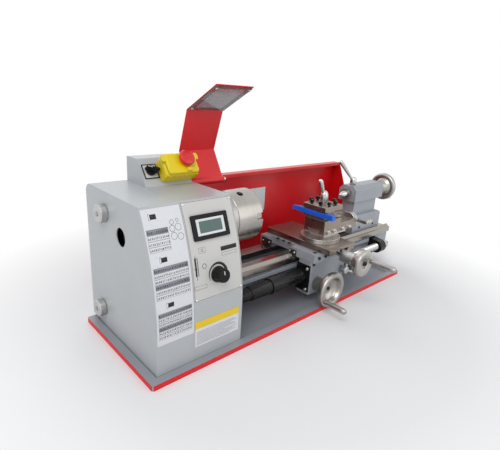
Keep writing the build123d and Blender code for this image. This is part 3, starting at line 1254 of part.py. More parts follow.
# Top slide
with BuildPart() as top_slide:
    with BuildSketch(Plane.XZ.offset(-(COMPOUND_Y + COMPOUND_HALF_WIDTH))):
        Polygon(
            (COMPOUND_LEFT, COMPOUND_BASE_TOP + SLIDE_GAP),
            (COMPOUND_LEFT, COMPOUND_TOP),
            (COMPOUND_STEP_X, COMPOUND_TOP),
            (COMPOUND_STEP_X, COMPOUND_STEP_TOP),
            (COMPOUND_RIGHT, COMPOUND_STEP_TOP),
            (COMPOUND_RIGHT, COMPOUND_BASE_TOP + SLIDE_GAP),
            align=None,
        )
    extrude(amount=2 * COMPOUND_HALF_WIDTH)
    with BuildSketch(Plane.YZ.offset(COMPOUND_LEFT)):
        Polygon(
            (COMPOUND_Y - SMALL_DOVETAIL_NECK - 2 * SLIDE_GAP, COMPOUND_BASE_TOP),
            (COMPOUND_Y - SMALL_DOVETAIL_TOP - 2 * SLIDE_GAP, SMALL_GROOVE_TOP),
            (COMPOUND_Y + SMALL_DOVETAIL_TOP + 2 * SLIDE_GAP, SMALL_GROOVE_TOP),
            (COMPOUND_Y + SMALL_DOVETAIL_NECK + 2 * SLIDE_GAP, COMPOUND_BASE_TOP),
            align=None,
        )
    extrude(amount=COMPOUND_RIGHT - COMPOUND_LEFT - 10, mode=Mode.SUBTRACT)
    rod_x((COMPOUND_RIGHT - 10, COMPOUND_RIGHT), TOP_DIAL_Y, TOP_DIAL_Z, 4 + RUNNING_GAP, Mode.SUBTRACT)

# Top slide dial with its crank
DIAL_FACE = TOP_DIAL_LEFT + TOP_DIAL_LENGTH
with BuildPart() as top_dial:
    rod_x((COMPOUND_RIGHT - 9, TOP_DIAL_LEFT), TOP_DIAL_Y, TOP_DIAL_Z, 4)
    rod_x((COMPOUND_RIGHT + SLIDE_GAP, DIAL_FACE), TOP_DIAL_Y, TOP_DIAL_Z, TOP_DIAL_RADIUS)
    chamfer(top_dial.faces().sort_by(Axis.X)[-1].edges(), length=2)
    rod_x((DIAL_FACE, DIAL_FACE + 8), TOP_DIAL_Y, TOP_DIAL_Z, 7)
    with BuildSketch(Plane.YZ.offset(DIAL_FACE + 2)):
        with Locations((TOP_DIAL_Y - CRANK_REACH / 2, TOP_DIAL_Z)):
            SlotOverall(CRANK_REACH + 10, 8)
    extrude(amount=6)
    rod_x((DIAL_FACE + 2, DIAL_FACE + CRANK_PIN_LENGTH), TOP_DIAL_Y - CRANK_REACH, TOP_DIAL_Z, 5)

# Toolpost: block with a tool slot on each side
with BuildPart() as toolpost:
    with BuildSketch(Plane.XY.offset(COMPOUND_TOP + SLIDE_GAP)):
        with Locations((POST_X, POST_Y)):
            Rectangle(POST_SIZE, POST_SIZE)
    extrude(amount=POST_TOP - COMPOUND_TOP - SLIDE_GAP)
    chamfer(toolpost.edges().group_by(Axis.Z)[-1], length=1)
    with BuildSketch(Plane.XY.offset(POST_SLOT_LOW)):
        with Locations((POST_X, POST_Y)):
            Rectangle(POST_SIZE + 2, POST_SIZE + 2)
            Rectangle(POST_CORE, POST_CORE, mode=Mode.SUBTRACT)
    extrude(amount=POST_SLOT_HIGH - POST_SLOT_LOW, mode=Mode.SUBTRACT)
    rod_z((POST_TOP, POST_TOP + 3), POST_X, POST_Y, 12)

SCREW_RING = (POST_SIZE + POST_CORE) / 4
with BuildPart() as toolpost_screws:
    for side in range(4):
        turn = math.radians(90 * side)
        for aside in (-12, 12):
            x = POST_X + SCREW_RING * math.cos(turn) - aside * math.sin(turn)
            y = POST_Y + SCREW_RING * math.sin(turn) + aside * math.cos(turn)
            rod_z((POST_TOP, POST_TOP + 3), x, y, 3.5)
            block((x - 3.5, x + 3.5), (y - 3.5, y + 3.5), (POST_TOP + 3, POST_TOP + 10))

with BuildPart() as toolpost_lever:
    with BuildSketch(Plane(origin=(POST_X, POST_Y, 0), x_dir=(1, 0, 0), z_dir=(0, -1, 0))):
        Polygon(
            (0, POST_TOP + 3 + SLIDE_GAP),
            (9, POST_TOP + 3 + SLIDE_GAP),
            (8.5, POST_TOP + 17),
            (6, POST_TOP + 24),
            (0, POST_TOP + 26),
            align=None,
        )
    revolve(axis=Axis((POST_X, POST_Y, 0), (0, 0, 1)))
    with BuildSketch(Plane(origin=(POST_X, POST_Y, POST_TOP + 16), x_dir=(0, 1, 0), z_dir=(-18, 0, 36))):
        Circle(4.5)
    extrude(amount=40)

# Tool bit in the left slot
with BuildPart() as tool_bit:
    block(
        (TOOL_LEFT, TOOL_LEFT + TOOL_SIZE),
        (TOOL_FRONT, TOOL_BACK - 14),
        (POST_SLOT_LOW, POST_SLOT_LOW + TOOL_SIZE),
    )
    with BuildSketch(Plane.XY.offset(POST_SLOT_LOW + 2)):
        Polygon(
            (TOOL_LEFT, TOOL_BACK - 14),
            (TOOL_LEFT - 4, TOOL_BACK),
            (TOOL_LEFT + 4, TOOL_BACK - 2),
            (TOOL_LEFT + TOOL_SIZE, TOOL_BACK - 14),
            align=None,
        )
    extrude(amount=TOOL_SIZE - 2)

# Tailstock: base on the ways, neck, barrel and the clamp plate under the rails
with BuildPart() as tailstock:
    block((TAIL_LEFT, TAIL_RIGHT), (-TAIL_HALF_WIDTH, TAIL_HALF_WIDTH), (WAY_Z + SLIDE_GAP, TAIL_BASE_TOP))
    chamfer(tailstock.edges().group_by(Axis.Z)[-1], length=4)
    block(
        (NECK_LEFT, NECK_RIGHT),
        (-NECK_HALF_WIDTH, NECK_HALF_WIDTH),
        (TAIL_BASE_TOP, BARREL_BOTTOM + 5),
    )
    with BuildSketch(Plane.YZ.offset(BARREL_LEFT)):
        Polygon(
            (-BARREL_HALF_WIDTH, BARREL_BOTTOM),
            (-BARREL_HALF_WIDTH, BARREL_TOP - BARREL_CHAMFER),
            (BARREL_CHAMFER - BARREL_HALF_WIDTH, BARREL_TOP),
            (BARREL_HALF_WIDTH - BARREL_CHAMFER, BARREL_TOP),
            (BARREL_HALF_WIDTH, BARREL_TOP - BARREL_CHAMFER),
            (BARREL_HALF_WIDTH, BARREL_BOTTOM),
            align=None,
        )
    extrude(amount=BARREL_RIGHT - BARREL_LEFT)
    rod_x((BARREL_LEFT, BARREL_RIGHT - 10), 0, AXIS_Z, QUILL_RADIUS + RUNNING_GAP, Mode.SUBTRACT)
    rod_x((BARREL_RIGHT - 10, BARREL_RIGHT), 0, AXIS_Z, 6 + RUNNING_GAP, Mode.SUBTRACT)
    gap_middle = (FRONT_RAIL_INNER + REAR_RAIL_INNER) / 2
    tail_middle = (TAIL_LEFT + TAIL_RIGHT) / 2
    rod_z((WAY_Z - RAIL_DEPTH - 7, WAY_Z + 10), tail_middle, gap_middle, 6)
    block(
        (tail_middle - 20, tail_middle + 20),
        (FRONT_RAIL_INNER - 8, REAR_RAIL_INNER + 8),
        (WAY_Z - RAIL_DEPTH - 8, WAY_Z - RAIL_DEPTH - SLIDE_GAP),
    )

with BuildPart() as quill:
    rod_x((QUILL_REST, BARREL_RIGHT - 22), 0, AXIS_Z, QUILL_RADIUS)
    rod_x((QUILL_REST, QUILL_REST + 30), 0, AXIS_Z, CENTRE_RADIUS, Mode.SUBTRACT)
    rod_x((BARREL_RIGHT - 90, BARREL_RIGHT - 22), 0, AXIS_Z, 6.5, Mode.SUBTRACT)

with BuildPart() as centre:
    with BuildSketch(turned_x(0, AXIS_Z)):
        Polygon(
            (CENTRE_TIP, 0),
            (CENTRE_TIP + 14, CENTRE_RADIUS),
            (QUILL_REST + 30, CENTRE_RADIUS),
            (QUILL_REST + 30, 0),
            align=None,
        )
    revolve(axis=Axis((0, 0, AXIS_Z), (1, 0, 0)))

TAIL_SCREW_LENGTH = 60
TAIL_GRIP_LENGTH = 32
TAIL_GRIP_REACH = 34
with BuildPart() as tail_handwheel:
    with BuildSketch(turned_x(0, AXIS_Z)):
        Polygon(
            (BARREL_RIGHT - TAIL_SCREW_LENGTH, 0),
            (BARREL_RIGHT - TAIL_SCREW_LENGTH, 6),
            (BARREL_RIGHT + SLIDE_GAP, 6),
            (BARREL_RIGHT + SLIDE_GAP, 19),
            (BARREL_RIGHT + 9, 19),
            (BARREL_RIGHT + 9, 14),
            (BARREL_RIGHT + 24, 14),
            (TAIL_WHEEL_BACK, 32),
            (TAIL_WHEEL_BACK, TAIL_WHEEL_RADIUS - 2),
            (TAIL_WHEEL_BACK + 2, TAIL_WHEEL_RADIUS),
            (TAIL_WHEEL_FACE - 2, TAIL_WHEEL_RADIUS),
            (TAIL_WHEEL_FACE, TAIL_WHEEL_RADIUS - 2),
            (TAIL_WHEEL_FACE, TAIL_WHEEL_RADIUS - 7),
            (TAIL_WHEEL_BACK + 4, 29),
            (BARREL_RIGHT + 30, 12),
            (BARREL_RIGHT + 30, 0),
            align=None,
        )
    revolve(axis=Axis((0, 0, AXIS_Z), (1, 0, 0)))
    rod_x((TAIL_WHEEL_FACE - 3, TAIL_WHEEL_FACE + TAIL_GRIP_LENGTH), -8, AXIS_Z - TAIL_GRIP_REACH, 4.5)

with BuildPart() as tail_lever:
    rod_z((BARREL_TOP + SLIDE_GAP, BARREL_TOP + 13), TAIL_LEVER_X, 0, 8)
    lever_run = (TAIL_LEVER_END[0] - TAIL_LEVER_X, TAIL_LEVER_END[1] - BARREL_TOP - 8)
    lever_length = math.hypot(*lever_run)
    with BuildSketch(
        Plane(
            origin=(TAIL_LEVER_X, 0, BARREL_TOP + 8),
            x_dir=(0, 1, 0),
            z_dir=(lever_run[0] / lever_length, 0, lever_run[1] / lever_length),
        )
    ):
        Circle(4)
    extrude(amount=lever_length)

# Exports
pieces = {
    "chip_tray": chip_tray,
    "bed": bed,
    "rack": rack,
    "leadscrew_bracket": leadscrew_bracket,
    "headstock_casting": headstock_casting,
    "spindle_bearings": spindle_bearings,
    "headstock_housing": headstock_housing,
    "end_plate": end_plate,
    "end_cover": end_cover,
    "cover_nuts": cover_nuts,
    "display_bezel": display_bezel,
    "switch_box": switch_box,
    "stop_housing": stop_housing,
    "stop_lid": stop_lid,
    "stop_mushroom": stop_mushroom,
    "selector_knob": selector_knob,
    "speed_knob": speed_knob,
    "motor": motor,
    "motor_pulley": motor_pulley,
    "drive_belt": drive_belt,
    "banjo": banjo,
    "guard_rod": guard_rod,
    "splash_guard": splash_guard,
    "spindle": spindle,
    "spindle_pulley": spindle_pulley,
    "spindle_gear": spindle_gear,
    "stud_gear": stud_gear,
    "leadscrew_gear": leadscrew_gear,
    "leadscrew": leadscrew,
    "chuck_body": chuck_body,
    "chuck_pinion": chuck_pinion,
    "chuck_jaw_1": jaws[0],
    "chuck_jaw_2": jaws[1],
    "chuck_jaw_3": jaws[2],
    "chuck_guard": chuck_guard,
    "guard_window": guard_window,
    "saddle": saddle,
    "apron": apron,
    "screw_cover_inner": screw_cover_inner,
    "screw_cover_middle": screw_cover_middle,
    "screw_cover_outer": screw_cover_outer,
    "cross_screw_bracket": cross_screw_bracket,
    "carriage_handwheel": carriage_handwheel,
    "carriage_grip": carriage_grip,
    "halfnut_lever": halfnut_lever,
    "cross_slide": cross_slide,
    "cross_dial": cross_dial,
    "cross_grip": cross_grip,
    "swivel_base": swivel_base,
    "top_slide": top_slide,
    "top_dial": top_dial,
    "toolpost": toolpost,
    "toolpost_screws": toolpost_screws,
    "toolpost_lever": toolpost_lever,
    "tool_bit": tool_bit,
    "tailstock": tailstock,
    "quill": quill,
    "centre": centre,
    "tail_handwheel": tail_handwheel,
    "tail_lever": tail_lever,
}
for name, piece in pieces.items():
    piece.part.label = name
    export_step(piece.part, f"parts/{name}.step")
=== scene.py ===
# %% [markdown]
# # Bench metal lathe
#
# A small lathe for turning metal stands on its own pressed chip tray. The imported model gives
# every part its exact place. This lesson dresses those parts: it breaks their edges, adds the
# plates, screws, threads and turned rims that the eye expects, and paints everything with
# procedural materials.

# %% Load the frame
import json
import math

import bmesh
import bpy
import numpy as np
from mathutils import Matrix, Vector

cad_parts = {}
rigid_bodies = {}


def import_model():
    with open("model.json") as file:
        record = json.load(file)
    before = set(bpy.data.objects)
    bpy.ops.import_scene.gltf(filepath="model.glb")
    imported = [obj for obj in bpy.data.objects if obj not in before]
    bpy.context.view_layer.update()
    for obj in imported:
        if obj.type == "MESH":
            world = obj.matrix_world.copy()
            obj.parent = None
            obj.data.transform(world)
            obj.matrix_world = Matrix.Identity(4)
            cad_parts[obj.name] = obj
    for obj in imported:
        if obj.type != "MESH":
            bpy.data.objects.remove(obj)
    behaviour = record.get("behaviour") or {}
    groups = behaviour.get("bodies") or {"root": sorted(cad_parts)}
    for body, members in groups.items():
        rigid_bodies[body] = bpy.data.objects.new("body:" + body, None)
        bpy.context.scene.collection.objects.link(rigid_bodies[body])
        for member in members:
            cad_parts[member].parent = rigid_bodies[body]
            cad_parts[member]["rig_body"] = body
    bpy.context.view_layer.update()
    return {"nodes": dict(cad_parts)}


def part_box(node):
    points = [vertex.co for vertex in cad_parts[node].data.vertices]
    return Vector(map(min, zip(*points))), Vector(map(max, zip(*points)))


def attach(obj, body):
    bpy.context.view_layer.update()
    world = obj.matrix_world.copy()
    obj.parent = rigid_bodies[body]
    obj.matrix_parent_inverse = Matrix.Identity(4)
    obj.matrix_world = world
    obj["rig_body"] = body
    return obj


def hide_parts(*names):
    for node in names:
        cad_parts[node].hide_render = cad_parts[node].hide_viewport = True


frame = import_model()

MM = 0.001
TURN = 2 * math.pi
TO_RIGHT, TO_LEFT = (1, 0, 0), (-1, 0, 0)
TO_BACK, TO_FRONT, UPRIGHT = (0, 1, 0), (0, -1, 0), (0, 0, 1)
SPINDLE_AXIS = (0, 0, 210)
NODES = frame["nodes"]

# %% [markdown]
# ## Where the camera stands
#
# The picture is taken from the front left, a little above the lathe. Three angles and a place
# are enough: azimuth round the object, elevation above it, and a small roll of the camera.
# The lens is 29 mm on a 36 mm sensor.

# %% Camera
CAMERA_PLACE = (-623.76, -587.79, 441.93)
CAMERA_AZIMUTH = math.radians(-43.228)
CAMERA_ELEVATION = math.radians(17.875)
CAMERA_ROLL = math.radians(3.497)
CAMERA_LENS = 29.12

back = Vector((
    math.sin(CAMERA_AZIMUTH) * math.cos(CAMERA_ELEVATION),
    -math.cos(CAMERA_AZIMUTH) * math.cos(CAMERA_ELEVATION),
    math.sin(CAMERA_ELEVATION),
))
level_right = (-back).cross(Vector(UPRIGHT)).normalized()
level_up = level_right.cross(-back)
right = math.cos(CAMERA_ROLL) * level_right + math.sin(CAMERA_ROLL) * level_up
up = math.cos(CAMERA_ROLL) * level_up - math.sin(CAMERA_ROLL) * level_right
camera = bpy.data.objects.new("photo_camera", bpy.data.cameras.new("photo_camera"))
facing = Matrix((right, up, back)).transposed().to_4x4()
camera.matrix_world = Matrix.Translation(Vector(CAMERA_PLACE) * MM) @ facing
camera.data.lens = CAMERA_LENS
camera.data.clip_start = 0.01
bpy.context.scene.collection.objects.link(camera)
bpy.context.scene.camera = camera
print("camera looks along", [round(v, 3) for v in -back])

# %% [markdown]
# ## Shader nodes in short form
#
# A procedural material is a small graph. A few helpers keep it readable: the first adds a node
# and sets or links its sockets, and the others do sums, map one range of values to another, mix
# two colours, make a soft random pattern, and darken or lighten a colour.

# %% Node helpers
def add(tree, kind, sockets, **settings):
    """Adds a shader node, sets its options, then sets or links the named sockets."""
    new = tree.nodes.new("ShaderNode" + kind)
    for key, value in settings.items():
        setattr(new, key, value)
    for key, value in sockets.items():
        if isinstance(value, bpy.types.NodeSocket):
            tree.links.new(value, new.inputs[key])
        else:
            new.inputs[key].default_value = value
    return new


def maths(tree, operation, first, second=0.0):
    """One sum on one or two values."""
    return add(tree, "Math", {0: first, 1: second}, operation=operation).outputs[0]


def remap(tree, value, low, high, to_low=0.0, to_high=1.0):
    """Straight line from low..high to to_low..to_high, held at both ends."""
    sockets = {
        "Value": value, "From Min": low, "From Max": high, "To Min": to_low, "To Max": to_high,
    }
    return add(tree, "MapRange", sockets, clamp=True).outputs[0]


def mixed(tree, share, first, second):
    """Colour between first and second."""
    return add(tree, "Mix", {0: share, 6: first, 7: second}, data_type="RGBA").outputs[2]


def noise(tree, vector, scale, detail=3.0):
    """Soft random pattern, scale in waves per metre."""
    return add(tree, "TexNoise", {"Vector": vector, "Scale": scale, "Detail": detail}).outputs[0]


def background_rays(tree):
    """1 for the camera's own rays and for those that come by way of gloss or glass."""
    rays = add(tree, "LightPath", {}).outputs
    indirect = maths(tree, "MAXIMUM", rays["Is Glossy Ray"], rays["Is Transmission Ray"])
    return maths(tree, "MAXIMUM", rays["Is Camera Ray"], indirect)


def shade(colour, factor):
    """A colour made darker or lighter, with full alpha."""
    return tuple(min(part * factor, 1.0) for part in colour[:3]) + (1.0,)


# %% [markdown]
# ## Which way the tool marks run
#
# Paint has no direction, but machined metal does. A ground face shows straight lines along the
# stroke of the grinder; a turned face shows rings round its axis. The trick is to bend the
# pattern's coordinates: squeeze them along the stroke, or use the distance from the axis.

# %% Directions of grain
def stroke(axis, squeeze=0.03):
    """Coordinates squeezed along one axis, so that the noise becomes long straight lines."""
    def vector(tree, place):
        scale = [1.0, 1.0, 1.0]
        scale[axis] = squeeze
        return add(tree, "Mapping", {"Vector": place, "Scale": scale}).outputs[0]
    return vector


def rings(axis, centre):
    """Coordinates (along the axis, distance from it), so that the noise becomes turned rings."""
    def vector(tree, place):
        moved = add(
            tree, "VectorMath", {0: place, 1: [c * MM for c in centre]}, operation="SUBTRACT",
        )
        parts = add(tree, "SeparateXYZ", {0: moved.outputs[0]}).outputs
        others = [parts[i] for i in range(3) if i != axis]
        squares = [maths(tree, "MULTIPLY", part, part) for part in others]
        radius = maths(tree, "SQRT", maths(tree, "ADD", *squares))
        return add(tree, "CombineXYZ", {0: parts[axis], 1: radius}).outputs[0]
    return vector


# %% [markdown]
# ## One recipe for all finishes
#
# Every surface here gets the same five things in different amounts: a base colour with slow
# clouds in it, fine grain that lifts the surface, smudges that change how sharp a reflection is,
# edges rubbed brighter by use, and areas of a second finish laid over the first.

# %% Finish recipe
CLOUD_SCALE, SPOT_SCALE = 21.0, 160.0


def finish(name, colour, rough, metal=0.0, cloud=0.05, grain=1200.0, lift=0.02, along=None,
           smudge=0.08, rub=0.0, rub_colour=(0.62, 0.62, 0.60), coat=0.0, gleam=0.5, over=()):
    """Builds a material. Colour = base, darker and lighter by cloud; bump = grain noise, lift in
    mm; rub = strength of worn edges; gleam = how much light a non-metal mirrors; over = a list of
    (mask, colour, rough, metal) finishes laid on top."""
    material = bpy.data.materials.new(name)
    material.use_nodes = True
    tree = material.node_tree
    shader = tree.nodes["Principled BSDF"]
    place = add(tree, "TexCoord", {}).outputs["Object"]
    vector = along(tree, place) if along else place
    fine = noise(tree, vector, grain)
    broad = noise(tree, place, CLOUD_SCALE)
    spots = noise(tree, place, SPOT_SCALE, 6.0)
    clouds = maths(
        tree, "ADD", maths(tree, "MULTIPLY", broad, 0.6), maths(tree, "MULTIPLY", fine, 0.4),
    )
    share = remap(tree, clouds, 0.3, 0.7)
    paint = mixed(tree, share, shade(colour, 1 - cloud), shade(colour, 1 + cloud))
    gloss = remap(tree, spots, 0.3, 0.72, max(rough - smudge, 0.03), rough + smudge)
    shine = None
    if rub:
        soft = add(tree, "Bevel", {"Radius": 1.1 * MM}, samples=4).outputs[0]
        true = add(tree, "NewGeometry", {}).outputs["Normal"]
        bend = add(tree, "VectorMath", {0: soft, 1: true}, operation="DOT_PRODUCT").outputs["Value"]
        curved = remap(tree, bend, 0.99, 0.90)
        worn = maths(tree, "MULTIPLY", curved, remap(tree, spots, 0.42, 0.6, 0.0, rub))
        paint = mixed(tree, worn, paint, shade(rub_colour, 1))
    for mask, second, second_rough, second_metal in over:
        area = mask(tree, place)
        paint = mixed(tree, area, paint, shade(second, 1))
        gloss = add(tree, "Mix", {0: area, 2: gloss, 3: second_rough}, data_type="FLOAT").outputs[0]
        before = metal if shine is None else shine
        shine = add(
            tree, "Mix", {0: area, 2: before, 3: second_metal}, data_type="FLOAT",
        ).outputs[0]
    tree.links.new(paint, shader.inputs["Base Color"])
    tree.links.new(gloss, shader.inputs["Roughness"])
    if shine is None:
        shader.inputs["Metallic"].default_value = metal
    else:
        tree.links.new(shine, shader.inputs["Metallic"])
    bump = add(tree, "Bump", {"Height": fine, "Strength": 0.6, "Distance": lift * MM})
    tree.links.new(bump.outputs[0], shader.inputs["Normal"])
    shader.inputs["Coat Weight"].default_value = coat
    shader.inputs["Specular IOR Level"].default_value = gleam
    return material


# %% [markdown]
# ## Areas of a second finish
#
# The tray is grey with a red outer edge, the bed is painted but its ways are bare ground steel,
# and the dials carry engraved marks. Each of those is a mask: a number from 0 to 1 worked out
# from the place on the part.

# %% Masks
def part_of(tree, place, axis):
    """One coordinate of a place."""
    return add(tree, "SeparateXYZ", {0: place}).outputs[axis]


def beyond(axis, limit, soft=0.1):
    """1 where a coordinate is past a limit in millimetres."""
    def mask(tree, place):
        return remap(tree, part_of(tree, place, axis), (limit - soft) * MM, limit * MM)
    return mask


def below(axis, limit, soft=0.1):
    """1 where a coordinate is under a limit in millimetres."""
    def mask(tree, place):
        return remap(tree, part_of(tree, place, axis), limit * MM, (limit + soft) * MM, 1.0, 0.0)
    return mask


def outer_edge(half_length, half_width):
    """1 on the outer wall of a rectangle centred on the origin."""
    def mask(tree, place):
        gaps = []
        for axis, half in ((0, half_length), (1, half_width)):
            reach = maths(tree, "ABSOLUTE", part_of(tree, place, axis))
            gaps.append(maths(tree, "SUBTRACT", reach, half * MM))
        return remap(tree, maths(tree, "MAXIMUM", *gaps), -1.0 * MM, -0.6 * MM)
    return mask


def dial_marks(axis, centre, count, band, share=0.16):
    """1 on engraved lines: the angle round the axis is cut into count equal steps, and each step
    has a dark share, kept within a band along the axis."""
    def mask(tree, place):
        moved = add(
            tree, "VectorMath", {0: place, 1: [c * MM for c in centre]}, operation="SUBTRACT",
        )
        parts = add(tree, "SeparateXYZ", {0: moved.outputs[0]}).outputs
        first, second = [parts[i] for i in range(3) if i != axis]
        turn = maths(tree, "MULTIPLY", maths(tree, "ARCTAN2", first, second), count / TURN)
        step = maths(tree, "ABSOLUTE", maths(tree, "SUBTRACT", maths(tree, "FRACT", turn), 0.5))
        line = remap(tree, step, share / 2, share / 2 + 0.04, 1.0, 0.0)
        low = remap(tree, parts[axis], (band[0] - 0.1) * MM, band[0] * MM)
        high = remap(tree, parts[axis], band[1] * MM, (band[1] + 0.1) * MM, 1.0, 0.0)
        return maths(tree, "MULTIPLY", line, maths(tree, "MULTIPLY", low, high))
    return mask


# %% [markdown]
# ## The finishes of this machine
#
# Sheet covers are light grey powder coat. Castings are grey paint over a rougher skin. Slides and
# toolpost are ground steel with a brown tint from oil. Handwheels are turned aluminium. The
# guards are red sheet. Each gets the shared recipe with its own numbers.

# %% Painted finishes
SHEET_GREY = (0.50, 0.52, 0.535)
CAST_GREY = (0.36, 0.385, 0.42)
BED_GREY = (0.38, 0.41, 0.45)
GUARD_RED = (0.74, 0.004, 0.009)
TRAY_HALF_LENGTH, TRAY_HALF_WIDTH = 373.5, 127
WAYS_FROM, RACK_BARE_UNDER = 92.0, 78.4
BARE_STEEL = (0.36, 0.33, 0.30)

powder_coat = finish(
    "powder_coat_grey", SHEET_GREY, 0.38, cloud=0.03, grain=1100, lift=0.003, coat=0.1,
)
tray_paint = finish(
    "tray_paint", (0.33, 0.35, 0.385), 0.38, cloud=0.05, grain=1100, lift=0.003,
    over=[(outer_edge(TRAY_HALF_LENGTH, TRAY_HALF_WIDTH), (0.72, 0.004, 0.012), 0.46, 0.0)],
)
casting_paint = finish(
    "casting_paint", CAST_GREY, 0.40, cloud=0.06, grain=420, lift=0.035, rub=0.3, coat=0.1,
)
guard_paint = finish(
    "guard_red", GUARD_RED, 0.34, cloud=0.05, grain=900, lift=0.002, smudge=0.04, coat=0.1,
)
bed_finish = finish(
    "bed_paint_and_ways", BED_GREY, 0.42, cloud=0.05, grain=420, lift=0.03,
    over=[(beyond(2, WAYS_FROM), BARE_STEEL, 0.24, 1.0)],
)

# %% Metal finishes
ground_steel = finish(
    "ground_steel", (0.31, 0.265, 0.23), 0.34, 1.0, 0.12, 1500, 0.002, stroke(1), rub=0.6,
)
post_steel = finish(
    "toolpost_steel", (0.30, 0.265, 0.235), 0.36, 1.0, 0.12, 1400, 0.002, stroke(0), rub=0.6,
)
bright_steel = finish(
    "bright_steel", (0.58, 0.57, 0.56), 0.24, 1.0, 0.05, 1200, 0.0015, smudge=0.05,
)
plain_steel = finish("plain_steel", (0.40, 0.39, 0.375), 0.34, 1.0, 0.07, 1200, 0.002)
cast_aluminium = finish("cast_aluminium", (0.52, 0.52, 0.51), 0.38, 1.0, 0.06, 650, 0.004, rub=0.4)
black_oxide = finish("black_oxide", (0.022, 0.021, 0.020), 0.38, 0.7, 0.25, 900, 0.015, rub=0.5)
black_iron = finish("black_iron", (0.006, 0.006, 0.006), 0.25, 0.0, 0.25, 900, 0.001, gleam=0.28)
chuck_steel = finish(
    "chuck_steel", (0.42, 0.40, 0.375), 0.26, 1.0, 0.10, 700, 0.0008,
    rings(0, SPINDLE_AXIS), smudge=0.04, rub=0.4,
)

rack_finish = finish(
    "rack_paint_and_teeth", BED_GREY, 0.42, cloud=0.05, grain=420, lift=0.01,
    over=[(below(2, RACK_BARE_UNDER), BARE_STEEL, 0.32, 1.0)],
)

# %% Plastics, glass and print
black_plastic = finish(
    "black_plastic", (0.006, 0.006, 0.007), 0.42, cloud=0.2, grain=1100, lift=0.002, gleam=0.2,
)
yellow_plastic = finish(
    "yellow_plastic", (0.86, 0.66, 0.005), 0.32, cloud=0.04, grain=900, lift=0.002, coat=0.1,
)
red_plastic = finish(
    "red_plastic", (0.72, 0.018, 0.022), 0.32, cloud=0.05, grain=900, lift=0.002, coat=0.1,
)
belt_rubber = finish("belt_rubber", (0.02, 0.02, 0.02), 0.7, cloud=0.25, grain=700, lift=0.05)
motor_paint = finish("motor_paint", (0.05, 0.055, 0.06), 0.45, cloud=0.12, grain=500, lift=0.06)
tool_paint = finish(
    "tool_paint", (0.012, 0.13, 0.74), 0.40, cloud=0.08, grain=700, lift=0.02, rub=0.2, coat=0.2,
)
plate_white = finish("plate_white", (0.76, 0.77, 0.80), 0.32, cloud=0.02, grain=1500, lift=0.004)
plate_cream = finish("plate_cream", (0.64, 0.63, 0.61), 0.34, cloud=0.02, grain=1500, lift=0.004)
print_dark = finish("print_dark", (0.008, 0.008, 0.01), 0.6, cloud=0.1, grain=900, lift=0.003)
print_grey = finish("print_grey", (0.27, 0.285, 0.32), 0.45, cloud=0.05, grain=900, lift=0.003)
print_yellow = finish("print_yellow", (0.90, 0.62, 0.01), 0.35, cloud=0.03, grain=900, lift=0.003)
lcd_green = finish(
    "lcd_green", (0.028, 0.095, 0.075), 0.18, cloud=0.08, grain=60, lift=0.0, coat=0.4,
)
clear_sheet = finish(
    "clear_sheet", (0.30, 0.31, 0.32), 0.10, cloud=0.02, grain=300, lift=0.002, smudge=0.04,
)
clear_sheet.node_tree.nodes["Principled BSDF"].inputs["Transmission Weight"].default_value = 0.6
print("finishes:", len(bpy.data.materials))

# %% [markdown]
# ## From points to a mesh
#
# A new piece is a grid of points worked out with numpy. Neighbouring points make the faces.
# One builder then closes the seams, turns the faces outwards, breaks the edges with a small
# bevel, and gives the piece to the body that carries it.

# %% Mesh helpers
def grid_faces(rows, columns, wrap=True):
    """Four-sided faces between neighbours of a rows x columns grid; wrap joins the last column
    to the first."""
    index = np.arange(rows * columns).reshape(rows, columns)
    beside = np.roll(index, -1, axis=1)
    faces = np.stack((index[:-1], beside[:-1], beside[1:], index[1:]), axis=-1)
    return (faces if wrap else faces[:, :-1]).reshape(-1, 4)


BLOCK_FACES = grid_faces(2, 4).tolist() + [[3, 2, 1, 0], [4, 5, 6, 7]]


def repeated(points, faces, offsets):
    """The same shape at several places: its points plus each offset, its faces counted on."""
    points = np.asarray(points, float).reshape(-1, 3)
    spots = np.asarray(offsets, float).reshape(-1, 1, 3)
    steps = np.arange(len(spots)).reshape(-1, 1, 1) * len(points)
    counted = (np.asarray(faces)[None] + steps).reshape(-1, faces.shape[1])
    return (points + spots).reshape(-1, 3), counted


def together(*shapes):
    """Several (points, faces) shapes as one list of points and one list of faces."""
    points, faces, count = [], [], 0
    for shape_points, shape_faces in shapes:
        flat = np.asarray(shape_points, float).reshape(-1, 3)
        points.append(flat)
        faces.extend([int(corner) + count for corner in face] for face in shape_faces)
        count += len(flat)
    return np.concatenate(points), faces


def build(name, body, material, shape, replaced=(), edge=0.0, sharp=32, outward=True):
    """Makes an object from points in millimetres and faces, and hands it to its body."""
    points, faces = shape
    mesh = bpy.data.meshes.new(name)
    places = np.asarray(points, float).reshape(-1, 3) * MM
    mesh.from_pydata(places.tolist(), [], [list(face) for face in faces])
    work = bmesh.new()
    work.from_mesh(mesh)
    bmesh.ops.remove_doubles(work, verts=work.verts, dist=0.002 * MM)
    bmesh.ops.dissolve_degenerate(work, edges=work.edges, dist=0.001 * MM)
    if outward:
        bmesh.ops.recalc_face_normals(work, faces=work.faces)
    work.to_mesh(mesh)
    work.free()
    mesh.materials.append(material)
    mesh.shade_smooth()
    mesh.set_sharp_from_angle(angle=math.radians(sharp))
    piece = bpy.data.objects.new(name, mesh)
    bpy.context.scene.collection.objects.link(piece)
    if edge:
        bevel = piece.modifiers.new("broken_edges", "BEVEL")
        bevel.width, bevel.segments, bevel.angle_limit = edge * MM, 2, math.radians(30)
        bevel.harden_normals = True
    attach(piece, body)
    if replaced:
        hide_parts(*replaced)
    print(name, "faces", len(mesh.polygons))
    return piece


